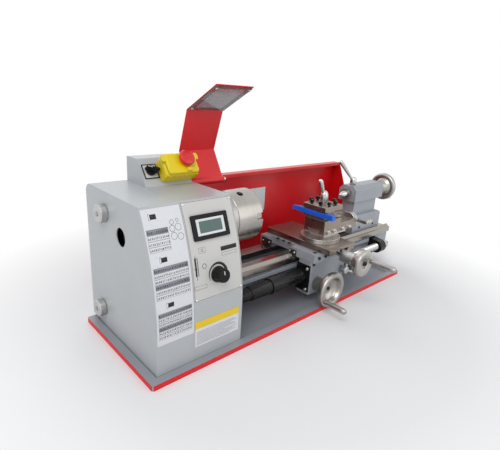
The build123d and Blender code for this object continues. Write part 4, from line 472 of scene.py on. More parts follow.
# %% [markdown]
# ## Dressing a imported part
#
# Most parts already have the right shape, but their edges are knife sharp. On the real machine
# every edge is broken by paint, casting or a file, and that thin line of light is what makes
# metal look like metal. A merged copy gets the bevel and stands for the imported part.

# %% Dressing helper
def dressed(node, material, edge=0.6):
    """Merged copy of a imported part, its flat triangles joined, with a bevel of the given width
    in millimetres."""
    work = bmesh.new()
    work.from_mesh(NODES[node].data)
    bmesh.ops.remove_doubles(work, verts=work.verts, dist=0.001 * MM)
    bmesh.ops.dissolve_limit(
        work, angle_limit=math.radians(0.4), verts=work.verts, edges=work.edges,
    )
    work.verts.ensure_lookup_table()
    points = np.array([vertex.co for vertex in work.verts]) / MM
    faces = [[vertex.index for vertex in face.verts] for face in work.faces]
    work.free()
    body = NODES[node]["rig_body"]
    return build(
        node + "_piece", body, material, (points, faces), (node,), edge, outward=False,
    )


def painted(slot, material, *nodes):
    """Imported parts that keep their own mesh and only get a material."""
    for node in nodes:
        NODES[node].data.materials.clear()
        NODES[node].data.materials.append(material)


# %% [markdown]
# ## Tray and bed
#
# The tray is pressed from sheet, with a turned-down edge painted red outside. The bed is a casting
# whose painted sides end at two ground rails, the front one with a V for the slides to follow.
# Both have the right shape already, so they only need broken edges.

# %% Tray, bed and bare castings
dressed("chip_tray", tray_paint, 0.9)
dressed("bed", bed_finish, 0.5)
painted("casting_grey", casting_paint, "headstock_casting", "end_plate")
dressed("leadscrew_bracket", black_iron, 0.8)

# %% [markdown]
# ## Rack teeth
#
# The carriage wheel drives a small pinion along a rack under the front way. The teeth are one
# saw of points, repeated at the rack's pitch and drawn across its width.

# %% Rack
RACK_PITCH, TOOTH_DEPTH = math.pi, 2.2
rack_low, rack_high = [np.array(corner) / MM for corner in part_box("rack")]
tooth_count = int((rack_high[0] - rack_low[0]) // RACK_PITCH)
tooth = np.array([(0.0, TOOTH_DEPTH), (0.5, 0.0), (1.3, 0.0), (2.1, TOOTH_DEPTH)])
teeth = (tooth[None] + np.arange(tooth_count).reshape(-1, 1, 1) * (RACK_PITCH, 0)).reshape(-1, 2)
teeth += (rack_low[0] + 0.3, rack_low[2])
tooth_root = rack_low[2] + TOOTH_DEPTH
outline = np.vstack((
    [rack_low[0], rack_high[2]], [rack_low[0], tooth_root],
    teeth,
    [rack_high[0], tooth_root], [rack_high[0], rack_high[2]],
))
corner_count = len(outline)
sides = [
    np.column_stack((outline[:, 0], np.full(corner_count, depth), outline[:, 1]))
    for depth in (rack_low[1], rack_high[1])
]
walls = grid_faces(2, corner_count).tolist()
ends = [list(range(corner_count)), list(range(corner_count, 2 * corner_count))]
build(
    "rack_teeth", "machine", rack_finish, (np.concatenate(sides), walls + ends),
    ("rack",),
)

# %% [markdown]
# ## Turned shapes
#
# A lathe makes round things by turning a profile, and so does this function. The profile is a
# list of (distance along the axis, radius); every point of it is carried round the axis. A shape
# factor can make a ring six sided for a key socket, or fluted for a grip.

# %% Turning helper
def turned(profile, origin, direction, steps=64, factor=None):
    """Point = origin + along * direction + radius * (cos turn * side + sin turn * other side)."""
    profile = np.asarray(profile, float)
    axis = np.asarray(direction, float) / np.linalg.norm(direction)
    side = np.cross(axis, (0.0, 0.0, 1.0) if abs(axis[2]) < 0.9 else (0.0, 1.0, 0.0))
    side /= np.linalg.norm(side)
    other = np.cross(axis, side)
    turn = np.arange(steps) * TURN / steps
    circle = np.cos(turn)[:, None] * side + np.sin(turn)[:, None] * other
    radius = profile[:, 1, None] * (np.ones(steps) if factor is None else factor)
    points = np.asarray(origin) + profile[:, 0, None, None] * axis + radius[:, :, None] * circle
    return points, grid_faces(len(profile), steps)


def flats(sides, steps=48):
    """Factor that turns a circle into a polygon: one over the cosine of the angle from the
    middle of a flat."""
    turn = np.arange(steps) * TURN / steps
    part = TURN / sides
    return 1 / np.cos(np.mod(turn, part) - part / 2)


def cap_screws(spots, direction, radius, height, steps=24):
    """Socket head screws: a chamfered round head with a six-sided hole."""
    profile = [(0, 0), (0, radius), (height * 0.8, radius), (height, radius * 0.85)]
    hole = [(height, radius * 0.5), (height * 0.35, radius * 0.5), (height * 0.35, 0)]
    factor = np.ones((len(profile) + len(hole), steps))
    factor[4:6] = flats(6, steps)
    points, faces = turned(profile + hole, (0, 0, 0), direction, steps, factor)
    return repeated(points, faces, spots)


# %% [markdown]
# ## Headstock covers
#
# The headstock hides under two folded covers of powder-coated sheet. The left one closes the
# change gears and comes off when its two thumb nuts are undone. A hole in it lets long bar stock
# stick out of the spindle.

# %% Covers
dressed("headstock_housing", powder_coat, 1.2)
dressed("end_cover", powder_coat, 2.2)
dressed("switch_box", powder_coat, 1.0)

# %% Thumb nuts
NUT_PROFILE = [
    (0, 0), (0, 14.5), (1.5, 16.4), (11.5, 16.4), (13.4, 14.6), (14, 12.6), (13.2, 11.4),
    (13.2, 8.2), (13.9, 7.4), (13.9, 4.2), (9, 4.2), (9, 0),
]
NUT_STEPS, NUT_RIDGES = 96, 24
NUT_FACE, NUT_PLACES = -356, [(0, 58, 237), (0, 84, 47)]
nut_factor = np.ones((len(NUT_PROFILE), NUT_STEPS))
nut_factor[1:5] = 1 - 0.012 * (1 + np.cos(np.arange(NUT_STEPS) * TURN * NUT_RIDGES / NUT_STEPS))
nut_factor[9:11] = flats(6, NUT_STEPS)
nut = turned(NUT_PROFILE, (NUT_FACE, 0, 0), TO_LEFT, NUT_STEPS, nut_factor)
nuts = repeated(*nut, NUT_PLACES)
build("thumb_nuts", "machine", cast_aluminium, nuts, ("cover_nuts",), 0.3)

# %% [markdown]
# ## Plates on the curved front
#
# The front of the headstock is upright at the bottom and leans back in a wide arc above. A plate
# lies on it if each of its points is worked out from its height: depth is the arc's depth at that
# height, and the lean of the arc gives the direction out of the sheet.

# %% The curved front
FRONT_FACE, FRONT_BEND, FRONT_ARC = -110.0, 75.0, 432.0


def on_front(x, height, out):
    """Place on the front: depth = face + arc - root(arc squared - rise squared), then moved out
    along the lean."""
    x, height, out = np.broadcast_arrays(*[np.asarray(value, float) for value in (x, height, out)])
    rise = np.maximum(height - FRONT_BEND, 0)
    lean = np.arcsin(rise / FRONT_ARC)
    depth = FRONT_FACE + FRONT_ARC - np.sqrt(FRONT_ARC ** 2 - rise ** 2)
    return np.stack((x, depth - out * np.cos(lean), height + out * np.sin(lean)), axis=-1)


def front_plate(span_x, span_z, out, thick, rows):
    """Closed plate on the front: a ring of four corners for each height, capped at both ends."""
    heights = np.linspace(*span_z, rows)[:, None]
    x = np.array([span_x[0], span_x[1], span_x[1], span_x[0]])[None]
    level = np.array([out, out, out + thick, out + thick])[None]
    points = on_front(x, heights, level)
    count = rows * 4
    faces = grid_faces(rows, 4).tolist() + [
        [3, 2, 1, 0], [count - 4, count - 3, count - 2, count - 1],
    ]
    return points, faces


PLATE_OUT, PLATE_THICK = 0.02, 0.7
FRONT_PLATES = (
    # name, slot, finish, limits in x, limits in height, rows
    ("chart_plate", "housing_grey", plate_white, (-354.5, -287.2), (63, 271), 24),
    ("control_panel", "housing_grey", plate_cream, (-285, -183.4), (116, 273), 24),
    ("lower_plate", "housing_grey", plate_white, (-284, -190), (33, 67), 3),
    ("lower_plate_band", "yellow_plastic", print_yellow, (-284, -190), (67.1, 80), 4),
)
for name, slot, material, span_x, span_z, rows in FRONT_PLATES:
    shape = front_plate(span_x, span_z, PLATE_OUT, PLATE_THICK, rows)
    build(name, "machine", material, shape, edge=0.2)

# %% [markdown]
# ## Figures on the chart
#
# The chart tells which gears to fit for each pitch. It is a print: ruled boxes, grey heading
# bars and columns of plain figures. The ten figures come from the text tool once, as flat shapes,
# and are then set out on the curved plate by adding offsets.

# %% Print helpers
def flat_figure(text):
    """Points and faces of one character, one millimetre high."""
    curve = bpy.data.curves.new("figure", "FONT")
    curve.body, curve.size, curve.resolution_u, curve.offset = text, 1.4, 1, 0.035
    holder = bpy.data.objects.new("figure", curve)
    bpy.context.scene.collection.objects.link(holder)
    bpy.context.view_layer.update()
    graph = bpy.context.evaluated_depsgraph_get()
    mesh = bpy.data.meshes.new_from_object(holder.evaluated_get(graph))
    points = np.array([vertex.co for vertex in mesh.vertices])[:, :2]
    faces = [list(polygon.vertices) for polygon in mesh.polygons]
    bpy.data.objects.remove(holder)
    bpy.data.meshes.remove(mesh)
    return points, faces


FIGURES = [flat_figure(str(digit)) for digit in range(10)]
FIGURE_STEP = 0.85
PRINT_OUT = PLATE_OUT + PLATE_THICK + 0.06


def print_on_front(name, shapes, material):
    """Flat print on the front plate: shapes are (points of x and height, faces)."""
    points, faces = together(*[(np.column_stack((p, np.zeros(len(p)))), f) for p, f in shapes])
    laid = on_front(points[:, 0], points[:, 1], PRINT_OUT)
    piece = build(name, "machine", material, (laid, faces), outward=False)
    film = piece.modifiers.new("ink_film", "SOLIDIFY")
    film.thickness, film.offset = 0.05 * MM, -1.0
    return piece


def box_shape(x, z, width, height, rows=2):
    """A filled box with its lower left corner at x, z, split in rows so that it can bend."""
    across, upward = np.meshgrid((x, x + width), np.linspace(z, z + height, rows))
    return np.column_stack((across.ravel(), upward.ravel())), grid_faces(rows, 2, wrap=False)


def frame_shapes(x, z, width, height, line=0.4):
    """Four thin boxes round a rectangle."""
    rows = max(int(height / 8), 2)
    return [
        box_shape(x, z, width, line), box_shape(x, z + height - line, width, line),
        box_shape(x, z, line, height, rows), box_shape(x + width - line, z, line, height, rows),
    ]


def number_shapes(value, x, z, size):
    """A plain number, its figures side by side."""
    shapes = []
    for index, digit in enumerate(str(value)):
        points, faces = FIGURES[int(digit)]
        shapes.append((points * size + (x + index * size * FIGURE_STEP, z), faces))
    return shapes


# %% Gear chart
COLUMN_STEP, ROW_GAP, FIGURE_SIZE = 6.05, 0.4, 3.3
CHART_TABLES = (
    # left, top, columns, rows, height of a row, rows with a grey bar
    (-352, 243, 6, 4, 8.3, (0,)),
    (-351.6, 188, 10, 6, 8.2, (0, 3)),
    (-351.2, 118, 10, 6, 7.5, (0, 3)),
)
rng = np.random.default_rng(5)
bars, lines = [], []
for left, top, columns, rows, row_step, headings in CHART_TABLES:
    for row in range(rows):
        low = top - (row + 1) * row_step
        if row in headings:
            bars.append(box_shape(left, low, columns * COLUMN_STEP, row_step - ROW_GAP))
        else:
            lines.extend(frame_shapes(left, low, columns * COLUMN_STEP, row_step - ROW_GAP, 0.25))
        for column in range(columns):
            number = int(rng.integers(11, 99))
            start = left + column * COLUMN_STEP + 0.7
            lines.extend(number_shapes(number, start, low + 1.9, FIGURE_SIZE))
for x, z in ((-341, 260), (-336, 198), (-333, 128)):
    lines.append(box_shape(x, z - 4, 10, 7))
    lines.extend(frame_shapes(x - 3, z - 5, 3, 9, 0.4))
print_on_front("chart_bars", bars, print_grey)
print_on_front("chart_figures", lines, print_dark)

# %% [markdown]
# ## Gear train drawing
#
# Beside the first table a small line drawing shows how the gears mesh. Each gear is a thin ring:
# two circles of points joined face by face.

# %% Gear rings
def ring_shape(x, z, radius, width, steps=28):
    """Flat ring: an inner and an outer circle of points joined by four-sided faces."""
    angle = np.linspace(0, TURN, steps)
    circle = np.column_stack((np.cos(angle), np.sin(angle)))
    loops = [(x, z) + reach * circle for reach in (radius - width, radius)]
    return np.concatenate(loops), grid_faces(2, steps, wrap=False)


DRAWN_GEARS = (
    # x, height, radius
    (-307, 248, 3.6), (-297, 250, 2.6), (-308, 239, 4.8),
    (-297, 240, 5.4), (-307, 228, 5.4), (-295.5, 226, 5.2),
)
drawn_rings = [ring_shape(x, z, radius, 0.5) for x, z, radius in DRAWN_GEARS]
print_on_front("chart_gears", drawn_rings, print_dark)

# %% [markdown]
# ## Panel details
#
# The control panel has a thin printed border, small screws in its corners, a scale that swells
# round the speed knob, and a bar with plain marks. The display sits in a black bezel with a white
# inner frame and a green window.

# %% Panel print
KNOB_PLACE = (-236.0, 153.0)
SCALE_RADIUS, SCALE_STEPS = 16.5, 40
scale_angles = np.linspace(math.radians(205), math.radians(-25), SCALE_STEPS)
scale_width = np.linspace(0.8, 6.4, SCALE_STEPS)
rim = np.column_stack((np.cos(scale_angles), np.sin(scale_angles)))
inner = KNOB_PLACE + SCALE_RADIUS * rim
outer = KNOB_PLACE + (SCALE_RADIUS + scale_width[:, None]) * rim
speed_scale = (np.concatenate((outer, inner)), grid_faces(2, SCALE_STEPS, wrap=False))
panel_print = [speed_scale, box_shape(-224, 189, 34, 7)]
panel_print += frame_shapes(-284.2, 117, 100, 155.2, 0.5) + frame_shapes(-224, 181, 34, 5, 0.35)
panel_print += frame_shapes(-283, 136, 24, 6, 0.4) + frame_shapes(-268, 193, 13, 9, 0.35)
panel_print += [
    ring_shape(-261, 172, 4.2, 0.8), box_shape(-279, 158, 3.2, 30, 6),
    box_shape(-274, 158, 1.2, 30, 6),
]
panel_print += [
    ring_shape(-261.5, 197.5, 2.4, 0.6), box_shape(-277, 152, 0.8, 40, 6),
    box_shape(-280.5, 170, 6.2, 1.0),
]
print_on_front("panel_print", panel_print, print_dark)
TEXT_LEFT, LINE_HEIGHT = -281, 0.8
LINE_LENGTHS = (70, 84, 78, 86, 60, 84, 82, 74, 86, 80)
line_heights = np.arange(37, 63, 2.6)
text_lines = [
    box_shape(TEXT_LEFT, z, width, LINE_HEIGHT)
    for z, width in zip(line_heights, LINE_LENGTHS)
]
print_on_front("plate_lines", text_lines, print_grey)
screw_x, screw_z = np.meshgrid((-281.5, -187), (269.5, 119.5))
spots = on_front(screw_x.ravel(), screw_z.ravel(), PLATE_THICK)
PANEL_LEAN = (0, -0.93, 0.36)
panel_screws = cap_screws(spots, PANEL_LEAN, 2.1, 1.2)
build("panel_screws", "machine", bright_steel, panel_screws, edge=0.1)

# %% Display
dressed("display_bezel", black_plastic, 0.8)
DISPLAY_X, DISPLAY_Z = -237.5, 232.0
WINDOW = (46, 19.5)
display_lean = math.asin((DISPLAY_Z - FRONT_BEND) / FRONT_ARC)
display_out = np.array((0, -math.cos(display_lean), math.sin(display_lean)))
display_up = np.array((0, math.sin(display_lean), math.cos(display_lean)))
display_centre = on_front(DISPLAY_X, DISPLAY_Z, 0.0)


def display_block(width, height, low, high, hole=None):
    """Flat block on the display's plane, or a frame if it has a hole: rings of corners joined
    into a closed wall."""
    def corners(w, h, out):
        plane = np.array([(-w, -h), (w, -h), (w, h), (-w, h)]) / 2
        flat = plane[:, :1] * TO_RIGHT + plane[:, 1:] * display_up
        return display_centre + flat + out * display_out
    if hole is None:
        points = np.concatenate((corners(width, height, low), corners(width, height, high)))
        return points, BLOCK_FACES
    loops = [corners(width, height, low), corners(width, height, high)]
    loops += [corners(*hole, high), corners(*hole, low)]
    return np.concatenate(loops + loops[:1]), grid_faces(5, 4)


build(
    "display_frame", "machine", plate_white,
    display_block(56.4, 27.4, 2.0, 3.4, WINDOW), edge=0.2,
)
build(
    "display_window", "machine", lcd_green, display_block(*WINDOW, 2.0, 2.6),
    edge=0.1,
)

# %% [markdown]
# ## Speed knob
#
# The knob is moulded in black plastic with shallow flutes for the fingers. Its profile is turned
# round the direction that points straight out of the curved sheet, and the flutes are a small
# ripple of the radius. A white line shows where it points.

# %% Speed knob
KNOB_FLUTES, KNOB_STEPS = 14, 112
knob_lean = math.asin((KNOB_PLACE[1] - FRONT_BEND) / FRONT_ARC)
knob_axis = np.array((0, -math.cos(knob_lean), math.sin(knob_lean)))
knob_centre = on_front(KNOB_PLACE[0], KNOB_PLACE[1], 0.0)
knob_profile = [
    (-8, 0), (-8, 3), (1.2, 3), (1.2, 13.6), (1.8, 14), (4, 14), (5, 13.4), (7, 12.9), (17.5, 12.2),
    (20, 11.6), (21, 10.4), (21.2, 9), (20.6, 8), (20.6, 0),
]
knob_factor = np.ones((len(knob_profile), KNOB_STEPS))
ripple = 0.5 + 0.5 * np.cos(np.arange(KNOB_STEPS) * TURN * KNOB_FLUTES / KNOB_STEPS)
knob_factor[6:10] = 1 - 0.045 * ripple ** 2
knob = turned(knob_profile, knob_centre, knob_axis, KNOB_STEPS, knob_factor)
build(
    "speed_knob_piece", "speed_control", black_plastic, knob, ("speed_knob",),
    0.25,
)
across = np.cross(knob_axis, TO_RIGHT)
line_low = knob_centre + 20.6 * knob_axis
corners = [(-0.7, 1.5), (0.7, 1.5), (0.7, 8), (-0.7, 8)]
pointer = np.array([
    line_low + a * np.array(TO_RIGHT) + b * across + c * knob_axis
    for c in (0, 0.35) for a, b in corners
])
build("speed_pointer", "speed_control", plate_white, (pointer, BLOCK_FACES))

# %% [markdown]
# ## The sloping switch box
#
# The box on top leans towards the operator. Everything on it is placed by a distance up the
# slope and a distance out of it.

# %% On the slope
SLOPE_FOOT = np.array((0, 46.6, 275.0))
SLOPE_RUN, SLOPE_RISE = 34.3, 45.8
SLOPE_UP = np.array((0, SLOPE_RUN, SLOPE_RISE)) / math.hypot(SLOPE_RUN, SLOPE_RISE)
SLOPE_OUT = np.array((0, -SLOPE_UP[2], SLOPE_UP[1]))


def on_slope(x, climb, out):
    """Place = foot of the slope + x sideways + climb up the slope + out of it."""
    return SLOPE_FOOT + np.array((x, 0, 0)) + climb * SLOPE_UP + out * SLOPE_OUT


def rounded_box(width, height, radius, steps=6):
    """Outline of a rectangle with round corners: a quarter circle at each corner, anticlockwise."""
    turn = np.linspace(0, math.pi / 2, steps)
    parts = []
    for index, (sign_x, sign_y) in enumerate(((1, 1), (-1, 1), (-1, -1), (1, -1))):
        angle = turn + index * math.pi / 2
        centre = (sign_x * (width / 2 - radius), sign_y * (height / 2 - radius))
        parts.append(centre + radius * np.column_stack((np.cos(angle), np.sin(angle))))
    return np.concatenate(parts)


def stacked(outline, levels, origin, side, upward, outward):
    """Outline drawn at several levels, each (out, scale x, scale y), and closed with flat ends."""
    side, upward, outward = [np.asarray(v, float) for v in (side, upward, outward)]
    loops = []
    for out, scale_x, scale_y in levels:
        flat = outline[:, :1] * scale_x * side + outline[:, 1:] * scale_y * upward
        loops.append(np.asarray(origin) + flat + out * outward)
    count, around = len(levels), len(outline)
    faces = grid_faces(count, around).tolist()
    faces += [list(range(around))[::-1], list(range((count - 1) * around, count * around))]
    return np.concatenate(loops), faces


def on_slope_block(outline, levels, x, climb, spin=0.0):
    """Stacked outline on the slope, turned by spin degrees."""
    turn = math.radians(spin)
    side = math.cos(turn) * np.array(TO_RIGHT) + math.sin(turn) * SLOPE_UP
    upward = math.cos(turn) * SLOPE_UP - math.sin(turn) * np.array(TO_RIGHT)
    return stacked(outline, levels, on_slope(x, climb, 0), side, upward, SLOPE_OUT)


# %% Selector
SELECTOR = (-265.0, 30.0)
SELECTOR_SPIN, MARK_REACH = -20, 7
plate_outline = rounded_box(29, 29, 1.5)
selector_plate = on_slope_block(plate_outline, [(0.02, 1, 1), (0.8, 1, 1)], *SELECTOR)
build("selector_plate", "machine", black_plastic, selector_plate, edge=0.15)
selector_face = on_slope_block(plate_outline, [(0.5, 0.86, 0.86), (1.0, 0.86, 0.86)], *SELECTOR)
build("selector_face", "machine", plate_cream, selector_face, edge=0.1)
hub_profile = [(-8, 0), (-8, 3), (1.2, 3), (1.2, 8.6), (1.7, 9), (5.6, 9), (6.2, 8.4), (6.2, 0)]
handle_levels = [(6, 1, 1), (8, 0.98, 0.86), (15.5, 0.96, 0.80), (17.2, 0.9, 0.6)]
selector = together(
    turned(hub_profile, on_slope(*SELECTOR, 0), SLOPE_OUT, 48),
    on_slope_block(rounded_box(26, 8, 3.9, 8), handle_levels, *SELECTOR, SELECTOR_SPIN),
)
build(
    "selector_knob_piece", "direction_switch", black_plastic, selector,
    ("selector_knob",), 0.4,
)
mark = on_slope_block(
    rounded_box(9, 1.1, 0.3), [(17.0, 1, 1), (17.45, 1, 1)],
    SELECTOR[0] - MARK_REACH * math.cos(math.radians(20)),
    SELECTOR[1] + MARK_REACH * math.sin(math.radians(20)), SELECTOR_SPIN,
)
build("selector_mark", "direction_switch", plate_white, mark)

# %% [markdown]
# ## Stop switch
#
# A hinged yellow lid over the switch presses the off button, and the red mushroom on it is what
# a hand hits in a hurry. Ears at the lid's sides let it be lifted or locked.

# %% Stop switch
STOP_PLACE = (-216.0, 27.0)
dressed("stop_housing", yellow_plastic, 1.2)
dressed("stop_lid", yellow_plastic, 0.8)
MUSHROOM_PLACE, EAR_REACH = (-208, 32), 34
mushroom_profile = [
    (33.3, 0), (33.3, 6), (38.3, 6), (38.3, 13.6), (39.2, 15), (43.8, 15), (45.6, 14), (46.8, 11),
    (47.3, 6), (47.3, 0),
]
mushroom = turned(mushroom_profile, on_slope(*MUSHROOM_PLACE, 0), SLOPE_OUT, 64)
build(
    "stop_mushroom_piece", "stop_button", red_plastic, mushroom,
    ("stop_mushroom",), 0.3,
)


def on_both_sides(outline, levels, climb):
    """The same block at both sides of the stop switch, climb above its middle."""
    x, middle = STOP_PLACE
    return together(*[
        on_slope_block(outline, levels, x + side * EAR_REACH, middle + climb) for side in (-1, 1)
    ])


ears = on_both_sides(rounded_box(9, 13, 3), [(29, 1, 1), (33, 1, 1)], 12)
build("lid_ears", "stop_lid", yellow_plastic, ears, edge=0.6)
ribs = on_both_sides(rounded_box(1.6, 22, 0.5), [(3, 1, 1), (22, 1, 1)], -9)
build("housing_ribs", "machine", yellow_plastic, ribs, edge=0.3)

# %% [markdown]
# ## Guards
#
# The chuck guard is bent from one sheet and swings on a tube. Its clear window is held from the
# inside by four screws and sealed with a black edge. The splash guard behind the lathe is one
# folded sheet with a stiff lip.

# %% Guards
dressed("chuck_guard", guard_paint, 0.4)
dressed("splash_guard", guard_paint, 0.45)
painted("window", clear_sheet, "guard_window")
painted("steel", bright_steel, "guard_rod")
PANEL_CENTRE = np.array((-134.5, 35.8, 432.25))
PANEL_RUN, PANEL_RISE = 89.6, 47.5
PANEL_UP = np.array((0, -PANEL_RUN, PANEL_RISE)) / math.hypot(PANEL_RUN, PANEL_RISE)
PANEL_OUT = np.array((0, PANEL_RISE, PANEL_RUN)) / math.hypot(PANEL_RUN, PANEL_RISE)
seal_outer, seal_inner = rounded_box(69, 83.4, 4), rounded_box(65.5, 79.9, 3)


def panel_points(outline, out):
    """Outline laid on the guard's top panel, a distance out of it."""
    return PANEL_CENTRE + outline[:, :1] * TO_RIGHT + outline[:, 1:] * PANEL_UP + out * PANEL_OUT


SEAL_LOW, SEAL_HIGH = -1.5, 0.3
seal_loops = (
    (seal_outer, SEAL_LOW), (seal_inner, SEAL_LOW), (seal_inner, SEAL_HIGH),
    (seal_outer, SEAL_HIGH), (seal_outer, SEAL_LOW),
)
seal = np.concatenate([panel_points(loop, out) for loop, out in seal_loops])
seal_shape = (seal, grid_faces(len(seal_loops), len(seal_outer)))
build("window_seal", "chuck_guard", black_plastic, seal_shape)
screw_grid = np.array([(x, y) for x in (-37.5, 37.5) for y in (-41, 41)])
window_screws = cap_screws(panel_points(screw_grid, -3.5), -PANEL_OUT, 2.8, 2.0)
build("window_screws", "chuck_guard", bright_steel, window_screws, edge=0.1)

# %% Plate on the splash guard
SPLASH_PLATE_PLACE = (46, 125.5, 191)
plate_levels = [(0.02, 1, 1), (0.8, 1, 1)]
bare_plate = stacked(
    rounded_box(92, 60, 1), plate_levels, SPLASH_PLATE_PLACE, TO_RIGHT, UPRIGHT, TO_FRONT,
)
build("guard_plate", "machine", plate_white, bare_plate, edge=0.15)

# %% [markdown]
# ## Chuck
#
# The chuck is turned from steel and polished, so its light runs in rings. The round black socket
# takes the chuck key, and three stepped jaws slide in slots of the face.

# %% Chuck and spindle
dressed("chuck_body", chuck_steel, 0.7)
dressed("chuck_pinion", black_oxide, 0.4)
for jaw in (1, 2, 3):
    dressed(f"chuck_jaw_{jaw}", plain_steel, 0.5)
painted(
    "steel", plain_steel, "spindle", "spindle_bearings", "banjo", "spindle_gear", "stud_gear",
    "leadscrew_gear",
)
painted("aluminium", cast_aluminium, "spindle_pulley", "motor_pulley")
painted("rubber", belt_rubber, "drive_belt")
painted("motor_paint", motor_paint, "motor")

# %% [markdown]
# ## Leadscrew and its telescopic cover
#
# The thread is a ramp wound round a rod. At each place along the rod and each angle, the wave
# (distance / pitch - turn) tells how far through one thread we are, and a clipped triangle of
# that wave gives the height of the flank. Rolled ridges on two of the cover's tubes catch the
# light.

# %% Leadscrew
SCREW_CENTRE = (-69.0, 68.0)
SCREW_PITCH, SCREW_CREST, SCREW_ROOT = 4.0, 9.95, 8.4
THREAD_FROM, THREAD_TO, THREAD_STEPS = -269, 337.01, 24
along = np.arange(THREAD_FROM, THREAD_TO, SCREW_PITCH / 7)
turn = np.arange(THREAD_STEPS) * TURN / THREAD_STEPS
wave = np.abs(np.mod(along[:, None] / SCREW_PITCH - turn[None] / TURN, 1) - 0.5) * 2
height = np.clip(wave * 2.2 - 0.6, 0, 1)
radius = SCREW_ROOT + (SCREW_CREST - SCREW_ROOT) * height
thread = np.stack((
    np.broadcast_to(along[:, None], radius.shape),
    SCREW_CENTRE[0] + radius * np.cos(turn),
    SCREW_CENTRE[1] + radius * np.sin(turn),
), axis=-1)
count = len(along) * THREAD_STEPS
caps = [list(range(THREAD_STEPS))[::-1], list(range(count - THREAD_STEPS, count))]
thread_faces = grid_faces(len(along), THREAD_STEPS).tolist() + caps
screw_origin = (0, *SCREW_CENTRE)
left_journal = [(-345, 0), (-345, 8), (-268.9, 8), (-268.9, 0)]
right_journal = [
    (336.9, 0), (336.9, 8), (365, 8), (365, 11.4), (365.6, 12), (379.4, 12), (380, 11.4), (380, 5),
    (394.4, 5), (395, 4.4), (395, 0),
]
journals = [
    turned(profile, screw_origin, TO_RIGHT, 32)
    for profile in (left_journal, right_journal)
]
leadscrew = together((thread, thread_faces), *journals)
build("leadscrew_piece", "leadscrew", bright_steel, leadscrew, ("leadscrew",), sharp=50)

# %% Cover tubes
RIDGES, RIDGE_STEP = 25, 4.0


def rolled(start, low, high):
    """Ridges along a tube: up, along and down again, repeated at equal steps from its start."""
    ridge = np.array([(0.0, low), (0.9, high), (2.1, high), (3.0, low)])
    steps = np.arange(RIDGES).reshape(-1, 1, 1) * (RIDGE_STEP, 0)
    return ((ridge[None] + steps).reshape(-1, 2) + (start, 0)).tolist()


inner_tube = [(-182, 11.5), (-182, 17), (-180, 17), (-180, 12.2)] + rolled(-178.5, 12.2, 13.0)
inner_tube += [(-75, 12.2), (-75, 11.5), (-182, 11.5)]
middle_tube = [(-129, 13.3), (-129, 14.2)] + rolled(-127.5, 14.2, 15.0)
middle_tube += [(-24, 14.2), (-24, 13.3), (-129, 13.3)]
TUBES = (("inner", "machine", inner_tube), ("middle", "cover_middle", middle_tube))
for name, body, profile in TUBES:
    tube = turned(profile, screw_origin, TO_RIGHT, 64)
    build(f"cover_tube_{name}", body, black_iron, tube, (f"screw_cover_{name}",))
dressed("screw_cover_outer", black_iron, 0.5)
cover_screws = cap_screws([(29, -85.5, 87.5), (29, -85.5, 38.5)], TO_LEFT, 3.8, 3.6)
build("cover_plate_screws", "carriage", bright_steel, cover_screws, edge=0.2)

# %% [markdown]
# ## Carriage
#
# The saddle bridges both ways, and the apron hangs from it in front of the bed. Both are painted
# castings. Dark wipers, each held by two screws, keep chips off the ways, and black plugs close
# the oil holes.

# %% Carriage castings
dressed("saddle", casting_paint, 1.1)
dressed("apron", casting_paint, 1.6)


def plates(name, body, material, boxes, edge=0.3):
    """Small flat plates given by their limits along X, Y and Z."""
    shapes = []
    for x, y, z in boxes:
        corners = np.array([(x[0], y[0]), (x[1], y[0]), (x[1], y[1]), (x[0], y[1])])
        points = np.concatenate([np.column_stack((corners, np.full(4, level))) for level in z])
        shapes.append((points, BLOCK_FACES))
    return build(name, body, material, together(*shapes), (), edge)


WIPER_LEFT, WIPER_RIGHT = (27.2, 29), (163, 164.8)
FRONT_WIPER, BACK_WIPER = ((-49, -29), (106.5, 118)), ((28, 60), (106, 119))
wipers = [
    (ends, *wiper)
    for ends in (WIPER_LEFT, WIPER_RIGHT) for wiper in (FRONT_WIPER, BACK_WIPER)
]
plates("way_wipers", "carriage", belt_rubber, wipers)
wiper_spots = [(WIPER_LEFT[0], y, 114) for y in (-46, -32)]
wiper_spots += [(WIPER_LEFT[0], y, 113) for y in (34, 54)]
build(
    "wiper_screws", "carriage", bright_steel,
    cap_screws(wiper_spots, TO_LEFT, 2.6, 2.2), edge=0.15,
)
right_spots = [(WIPER_RIGHT[1], y, 113) for y in (-46, -32, 34, 54)]
build(
    "wiper_screws_right", "carriage", bright_steel,
    cap_screws(right_spots, TO_RIGHT, 2.6, 2.2), edge=0.15,
)
oil_profile = [(-0.5, 0), (-0.5, 4.2), (0.8, 4.2), (1.3, 3.6), (0.6, 2.4), (0.6, 0)]
oil_plug = turned(oil_profile, (0, 0, 0), UPRIGHT, 32)
oil_spots = [(41, -91, 124), (40, 20, 124), (40, 2, 124), (40, -16, 124), (151, -91, 124)]
build("oil_plugs", "carriage", black_oxide, repeated(*oil_plug, oil_spots))
saddle_spots = [(x, -101, 114) for x in (44, 66, 124, 148)]
saddle_screws = cap_screws(saddle_spots, TO_FRONT, 3.4, 3.2)
build("saddle_screws", "carriage", black_oxide, saddle_screws, edge=0.2)
apron_screws = cap_screws([(40, -92, 97), (152, -92, 97), (152, -92, 29)], TO_FRONT, 3.2, 2.6)
build("apron_screws", "carriage", black_oxide, apron_screws, edge=0.2)

# %% [markdown]
# ## Handwheels, dials and grips
#
# These are turned from cast aluminium, so each is one profile carried round its axis. Rings of
# tool marks follow the axis, and the dials carry engraved lines all round.

